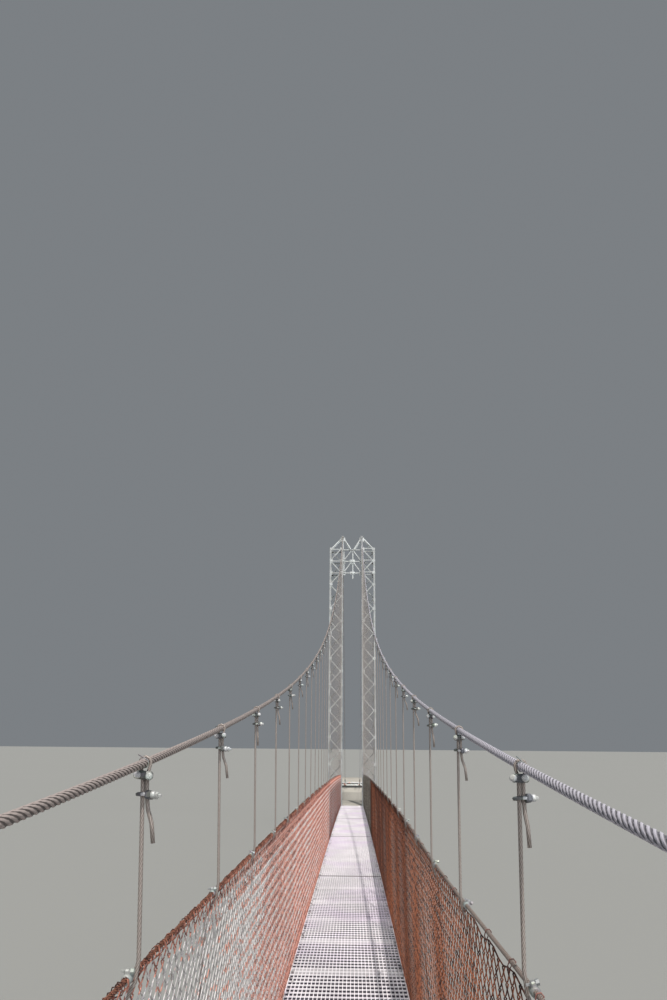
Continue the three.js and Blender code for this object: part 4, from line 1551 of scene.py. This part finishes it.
class BRIDGE_OT_portals(bpy.types.Operator):
    """Adds the braces between the tower legs, with their bolted plates"""

    bl_idname = "bridge.portals"
    bl_label = "Portal Braces"

    def execute(self, context):
        zinc = zinc_finish("portal_zinc", 1.0, 0.2)
        bright = zinc_finish("plate_zinc", 1.3, 0.1)
        for name, end in ENDS.items():
            brace = self.brace(end, zinc, bright)
            brace.name = f"portal_truss_{name}"
            finished(smooth(brace, 20), "galvanised", f"portal_brace_{name}")
        return {"FINISHED"}

    def brace(self, end, zinc, bright):
        """A brace of two bays: level bars, uprights with a stub at the middle, diagonals and plates."""
        y = end * HALF_SPAN
        reach = INNER_CHORD_X - TOP_BAR / 2 - GAP
        top = TOWER_TOP - PORTAL_BAR / 2
        levels = [top, top - PORTAL_BAY, top - 2 * PORTAL_BAY]
        facing = (0, -end, 0)
        parts = []

        def member(start, finish):
            bar = strut((start[0], y, start[1]), (finish[0], y, finish[1]), facing, PORTAL_BAR)
            parts.append(dress(bar, zinc))

        for level in levels:
            member((reach, level), (-reach, level))
        member((0, levels[2] - PORTAL_STUB), (0, levels[0]))
        edge = reach - PORTAL_BAR / 2
        for side in (-1, 1):
            member((side * edge, levels[2]), (side * edge, levels[0]))
            for high, low in zip(levels, levels[1:]):
                diagonal = ((0, high), (side * edge, low))
                member(*diagonal[::-side])
        plates = [
            (0, levels[0] - 0.03, 0.2, 0.11), (0, levels[1], 0.22, 0.2), (0, levels[2] + 0.02, 0.19, 0.12)]
        for level, width in ((levels[1], 0.1), (levels[2], 0.12)):
            plates += [(side * (edge - 0.03), level, width, 0.15) for side in (-1, 1)]
        for x, z, width, height in plates:
            bolts = [(a * width * 0.36, b * height * 0.34) for a in (-1, 0, 1) for b in (-1, 1)]
            for face in (-1, 1):
                plate = bolted_plate(width, height, bolts)
                plate.data.transform(facing_out((x, y + face * PORTAL_PLATE_OUT, z), (0, face, 0)))
                parts.append(dress(plate, bright))
        return joined("brace", *parts)


class BRIDGE_OT_peaks(bpy.types.Operator):
    """Adds the peaks on the towers, with the grooved shoes that the cables lie on"""

    bl_idname = "bridge.peaks"
    bl_label = "Saddle Peaks"

    def execute(self, context):
        zinc = zinc_finish("peak_zinc", 1.2, 0.2)
        for end_name, end in ENDS.items():
            for side_name, side in SIDES.items():
                peak = joined("peak", *self.bars(side, end), self.shoe(side, end))
                peak.name = f"peak_{end_name}_{side_name}"
                node = f"saddle_peak_{end_name}_{side_name}"
                finished(smooth(dress(peak, zinc), 25), "galvanised", node)
        return {"FINISHED"}

    def bars(self, side, end):
        """The post under the saddle, the leaning angles on both its sides and the plates at their ends."""
        y = end * HALF_SPAN
        seat = TOWER_TOP + GAP
        apex = SADDLE_CENTRE + SADDLE_RADIUS - CABLE_ROOM - SADDLE_DEPTH
        x = side * CABLE_X
        parts = [bevel(block((x, y, (seat + apex) / 2), (PEAK_POST, PEAK_POST, apex - seat)), 0.004)]
        for foot in PEAK_FEET_X:
            head_x = x + (side * foot - x) * PEAK_HEAD_SHARE
            for face in (-1, 1):
                out = y + face * PEAK_BAR_OUT
                start, finish = (side * foot, out, seat + 0.02), (head_x, out, apex - 0.03)
                parts.append(strut(start, finish, (0, face, 0), *PEAK_BAR))
            parts.append(bevel(block((side * foot, y, seat + PEAK_PLATE[2] / 2), PEAK_PLATE), 0.003))
            for bolt in (-PEAK_BOLT_AT, PEAK_BOLT_AT):
                for face in (-PEAK_BOLT_AT, PEAK_BOLT_AT):
                    parts.append(round_bar((side * foot + bolt, y + face, seat + 0.02), *PEAK_BOLT, 6))
        plate = bolted_plate(*CHEEK, CHEEK_BOLTS, CHEEK_THICKNESS)
        for face in (-1, 1):
            cheek = added("cheek", plate.data.copy())
            cheek.data.transform(facing_out((x, y + face * CHEEK_OUT, apex - CHEEK_DROP), (0, face, 0)))
            parts.append(cheek)
        put_away(plate)
        return parts

    def shoe(self, side, end):
        """A grooved bar turned round the centre of the cable's bend."""
        outer = SADDLE_RADIUS - CABLE_ROOM
        half = SADDLE_WIDTH / 2
        lip = outer + SADDLE_LIP_RISE
        section = [
            (-half, outer - SADDLE_DEPTH), (half, outer - SADDLE_DEPTH), (half, lip),
            (half - SADDLE_LIP, lip), (SADDLE_GROOVE, outer), (-SADDLE_GROOVE, outer),
            (-half + SADDLE_LIP, lip), (-half, lip),
        ]
        start = -SPAN_ANGLE if end > 0 else -BACKSTAY_ANGLE
        turn = SPAN_ANGLE + BACKSTAY_ANGLE
        points = []
        for x, r in section:
            y, z = r * math.sin(start), r * math.cos(start)
            points.append(real(side * CABLE_X + x, end * HALF_SPAN + y, SADDLE_CENTRE + z))
        mesh = bpy.data.meshes.new("shoe")
        mesh.from_pydata(points, [], [tuple(range(len(points)))])
        shoe = added("shoe", mesh)
        centre = real(0, end * HALF_SPAN, SADDLE_CENTRE)
        shape(
            shoe, everything,
            lambda: bpy.ops.mesh.spin(steps=SADDLE_TURNS, angle=turn, center=centre, axis=(1, 0, 0)),
            lambda: bpy.ops.mesh.select_all(action="SELECT"),
            lambda: bpy.ops.mesh.remove_doubles(threshold=1e-6),
            lambda: bpy.ops.mesh.normals_make_consistent(inside=False))
        return shoe


# Concrete and anchors
ABUTMENT_FRONT = 36.9
ABUTMENT_STEP = 37.7
ABUTMENT_BACK = 41.0
ABUTMENT_WIDTH = 2.5
BLOCK_WIDTH = 1.9
BLOCK_BACK = 53.0
BLOCK_SLOPE = 0.9
CHAMFER = 0.018
ANCHOR_BEAM_LENGTH = 1.3
ANCHOR_BEAM_WIDTH = 0.26
ANCHOR_BEAM_DEPTH = 0.12
ANCHOR_SLOT = 0.03
CHANNEL_WALL = 0.009
CHANNEL_RIBS = (-0.55, -0.2, 0.2, 0.55)
ANCHOR_PLATE = (0.16, 0.24, 0.02)
# Two nuts, a rod and the cable's socket before the plate: how far off, radius, length and sides
ANCHOR_ROD = ((0.032, 0.04, 0.026, 6), (0.06, 0.034, 0.024, 6), (0.13, 0.02, 0.2, 12))
SOCKET = (0.31, 0.036, 0.2, 12)
SOCKET_MOUTH = 0.5


def chamfered(obj):
    """A cast block with its edges taken off."""
    return smooth(bevel(obj, CHAMFER, 2), 30)


class BRIDGE_OT_concrete(bpy.types.Operator):
    """Adds the abutments and the anchor blocks"""

    bl_idname = "bridge.concrete"
    bl_label = "Concrete"

    def execute(self, context):
        finish = concrete_finish()
        for name, end in ENDS.items():
            abutment = dress(self.abutment(end), finish)
            abutment.name = f"cast_abutment_{name}"
            finished(abutment, "concrete", f"abutment_{name}")
            anchor = dress(self.anchor_block(end), finish)
            anchor.name = f"cast_anchor_{name}"
            finished(anchor, "concrete", f"anchor_block_{name}")
        return {"FINISHED"}

    def abutment(self, end):
        seat = rail_top(DECK_END) - RAIL_DEPTH - GAP
        middle = end * (ABUTMENT_FRONT + ABUTMENT_BACK) / 2
        body = block((0, middle, seat / 2), (ABUTMENT_WIDTH, ABUTMENT_BACK - ABUTMENT_FRONT, seat))
        shape(
            body, everything,
            lambda: bpy.ops.mesh.bisect(plane_co=real(0, end * ABUTMENT_STEP, 0), plane_no=(0, 1, 0)))
        shape(
            body, lambda c, n: n.z > 0.9 and c.y * end > ABUTMENT_STEP,
            push(0, 0, DECK_END_HEIGHT - seat))
        return chamfered(body)

    def anchor_block(self, end):
        start = STAY_LENGTH + 2 * GAP + ANCHOR_BEAM_DEPTH
        low, high = stay_point(start, -BLOCK_SLOPE / 2), stay_point(start, BLOCK_SLOPE / 2)
        middle = end * (low[0] + BLOCK_BACK) / 2
        body = block((0, middle, high[1] / 2), (BLOCK_WIDTH, BLOCK_BACK - low[0], high[1]))
        shape(
            body, everything,
            lambda: bpy.ops.mesh.bisect(plane_co=real(0, 0, low[1]), plane_no=(0, 0, 1)))
        shift(
            body, lambda v: v.y * end < low[0] + 0.01 and v.z > high[1] - 0.01,
            (0, end * (high[0] - low[0]), 0))
        return chamfered(body)


class BRIDGE_OT_anchors(bpy.types.Operator):
    """Adds the anchor beams, with the plates, rods and sockets at the ends of the cables"""

    bl_idname = "bridge.anchors"
    bl_label = "Anchors"

    def execute(self, context):
        # Painted shade with real rust: the anchors' zinc is darkened to half and heavily rusted, so the
        # far end stays dark.
        zinc = zinc_finish("anchor_zinc", 0.5, 1.1)
        for name, end in ENDS.items():
            ends = [stay_point(0), stay_point(STAY_LENGTH)]
            along_stay = between(*((0, end * y, z) for y, z in ends), (1, 0, 0))
            parts = self.channels() + self.sockets()
            for part in parts:
                part.data.transform(along_stay)
            beam = joined("anchor", *parts)
            beam.name = f"anchor_channels_{name}"
            finished(smooth(dress(beam, zinc), 25), "galvanised", f"anchor_beam_{name}")
        return {"FINISHED"}

    def channels(self):
        """Two ribbed channels with a slot between them for the rods, with Z along the backstay."""
        middle = STAY_LENGTH + GAP + ANCHOR_BEAM_DEPTH / 2
        width = ANCHOR_BEAM_WIDTH / 2 - ANCHOR_SLOT
        parts = []
        for side in (-1, 1):
            centre = side * (ANCHOR_SLOT + width / 2)
            channel = block((0, centre, middle), (ANCHOR_BEAM_LENGTH, width, ANCHOR_BEAM_DEPTH))
            shape(
                channel, lambda c, n: n.y * side > 0.9,
                inset(CHANNEL_WALL), push(0, side * (CHANNEL_WALL - width), 0))
            parts.append(bevel(channel, 0.002))
            for x in CHANNEL_RIBS:
                parts.append(block((x, centre, middle), (0.01, width - 0.004, ANCHOR_BEAM_DEPTH - 0.02)))
        return parts

    def sockets(self):
        """The end of each cable: an anchor plate, nuts and a rod, and the socket round the cable."""
        front = STAY_LENGTH + GAP
        parts = []
        for side in (-1, 1):
            x = side * CABLE_X
            parts.append(bevel(block((x, 0, front - 0.012), ANCHOR_PLATE), 0.003))
            bars = [round_bar((x, 0, front - off), *size) for off, *size in (*ANCHOR_ROD, SOCKET)]
            shape(
                bars[-1], lambda c, n: n.z < -0.9,
                lambda: bpy.ops.transform.resize(value=(SOCKET_MOUTH, SOCKET_MOUTH, 1)))
            bevel(bars[-1], 0.004)
            parts += bars
        return parts


# Floor, lights and camera, with each light's direction, strength, width in degrees and colour
SUNS = {
    "key": ((-0.089, 0.47, -1), 3.6, 0.8, (1.0, 0.96, 0.9)),
    "softbox": ((-0.45, 1.0, -0.35), 1.6, 50.0, (0.95, 0.97, 1.0)),
}
SURROUNDINGS = (0.20, 0.215, 0.23, 1)
PALE_FLOOR = tint(142, 143, 141)
FLOOR_DROP = 0.0005
LENS = 28.0
SENSOR = 36.0
CAMERA_PLACE = (0.047, 5.2055, 3.1665)
CAMERA_PITCH = 0.30795
CAMERA_YAW = -0.02695
CAMERA_ROLL = -0.00885
FLOOR_SIZE = 3000.0


class BRIDGE_OT_stage(bpy.types.Operator):
    """Adds the pale floor, the soft light and the camera"""

    bl_idname = "bridge.stage"
    bl_label = "Stage"

    def execute(self, context):
        self.floor()
        self.lights()
        self.camera()
        bpy.context.scene.view_settings.view_transform = "Standard"
        return {"FINISHED"}

    def floor(self):
        bpy.ops.object.select_all(action="DESELECT")
        bpy.ops.mesh.primitive_plane_add(size=FLOOR_SIZE * TENTH, location=(0, 0, -FLOOR_DROP))
        floor = settle()
        floor.name = "studio_floor"
        paint = Finish("studio_floor")
        clouds = paint.blend(paint.noise(0.05), PALE_FLOOR, darker(PALE_FLOOR, 0.97))
        dress(floor, paint.done(clouds, 0.9))

    def lights(self):
        world = bpy.data.worlds.new("studio")
        world.use_nodes = True
        background = world.node_tree.nodes["Background"]
        background.inputs["Color"].default_value = SURROUNDINGS
        background.inputs["Strength"].default_value = 1.0
        bpy.context.scene.world = world
        for name, (direction, strength, degrees, colour) in SUNS.items():
            data = bpy.data.lights.new(name, "SUN")
            data.energy = strength
            data.angle = math.radians(degrees)
            data.color = colour
            light = added(name, data)
            light.rotation_mode = "QUATERNION"
            light.rotation_quaternion = Vector(direction).to_track_quat("-Z", "Y")

    def camera(self):
        """A walker's camera on the deck, a little past the middle of the span."""
        level = Vector((math.cos(CAMERA_YAW), -math.sin(CAMERA_YAW), 0))
        ahead = Vector((math.sin(CAMERA_YAW), math.cos(CAMERA_YAW), 0))
        forward = math.cos(CAMERA_PITCH) * ahead + Vector((0, 0, math.sin(CAMERA_PITCH)))
        above = -math.sin(CAMERA_PITCH) * ahead + Vector((0, 0, math.cos(CAMERA_PITCH)))
        right = math.cos(CAMERA_ROLL) * level - math.sin(CAMERA_ROLL) * above
        up = math.sin(CAMERA_ROLL) * level + math.cos(CAMERA_ROLL) * above
        data = bpy.data.cameras.new("walker")
        data.lens = LENS
        data.sensor_width = SENSOR
        data.clip_start = 0.01
        data.clip_end = 400.0
        camera = added("walker", data)
        matrix = Matrix((right, up, -forward)).transposed().to_4x4()
        matrix.translation = real(*CAMERA_PLACE)
        camera.matrix_world = matrix
        bpy.context.scene.camera = camera


class BRIDGE_PT_panel(bpy.types.Panel):
    """Sizes, colours and the operators of the footbridge"""

    bl_idname = "BRIDGE_PT_panel"
    bl_label = "Cable Footbridge"
    bl_space_type = "VIEW_3D"
    bl_region_type = "UI"
    bl_category = "Footbridge"

    def draw(self, context):
        for group in (context.scene.bridge_sizes, context.scene.bridge_colours):
            box = self.layout.box()
            for name in group.__annotations__:
                box.prop(group, name)
        for operator in OPERATORS:
            self.layout.operator(operator.bl_idname)


OPERATORS = (
    BRIDGE_OT_stage,
    BRIDGE_OT_main_cables,
    BRIDGE_OT_hangers,
    BRIDGE_OT_hand_ropes,
    BRIDGE_OT_fences,
    BRIDGE_OT_deck_panels,
    BRIDGE_OT_floor_frame,
    BRIDGE_OT_towers,
    BRIDGE_OT_portals,
    BRIDGE_OT_peaks,
    BRIDGE_OT_concrete,
    BRIDGE_OT_anchors,
)


def register():
    for cls in (BridgeSizes, BridgeColours, *OPERATORS, BRIDGE_PT_panel):
        bpy.utils.register_class(cls)
    bpy.types.Scene.bridge_sizes = PointerProperty(type=BridgeSizes)
    bpy.types.Scene.bridge_colours = PointerProperty(type=BridgeColours)


def unregister():
    del bpy.types.Scene.bridge_colours
    del bpy.types.Scene.bridge_sizes
    for cls in reversed((BridgeSizes, BridgeColours, *OPERATORS, BRIDGE_PT_panel)):
        bpy.utils.unregister_class(cls)


def main():
    register()
    for operator in OPERATORS:
        group, name = operator.bl_idname.split(".")
        getattr(getattr(bpy.ops, group), name)()


if __name__ == "__main__":
    main()
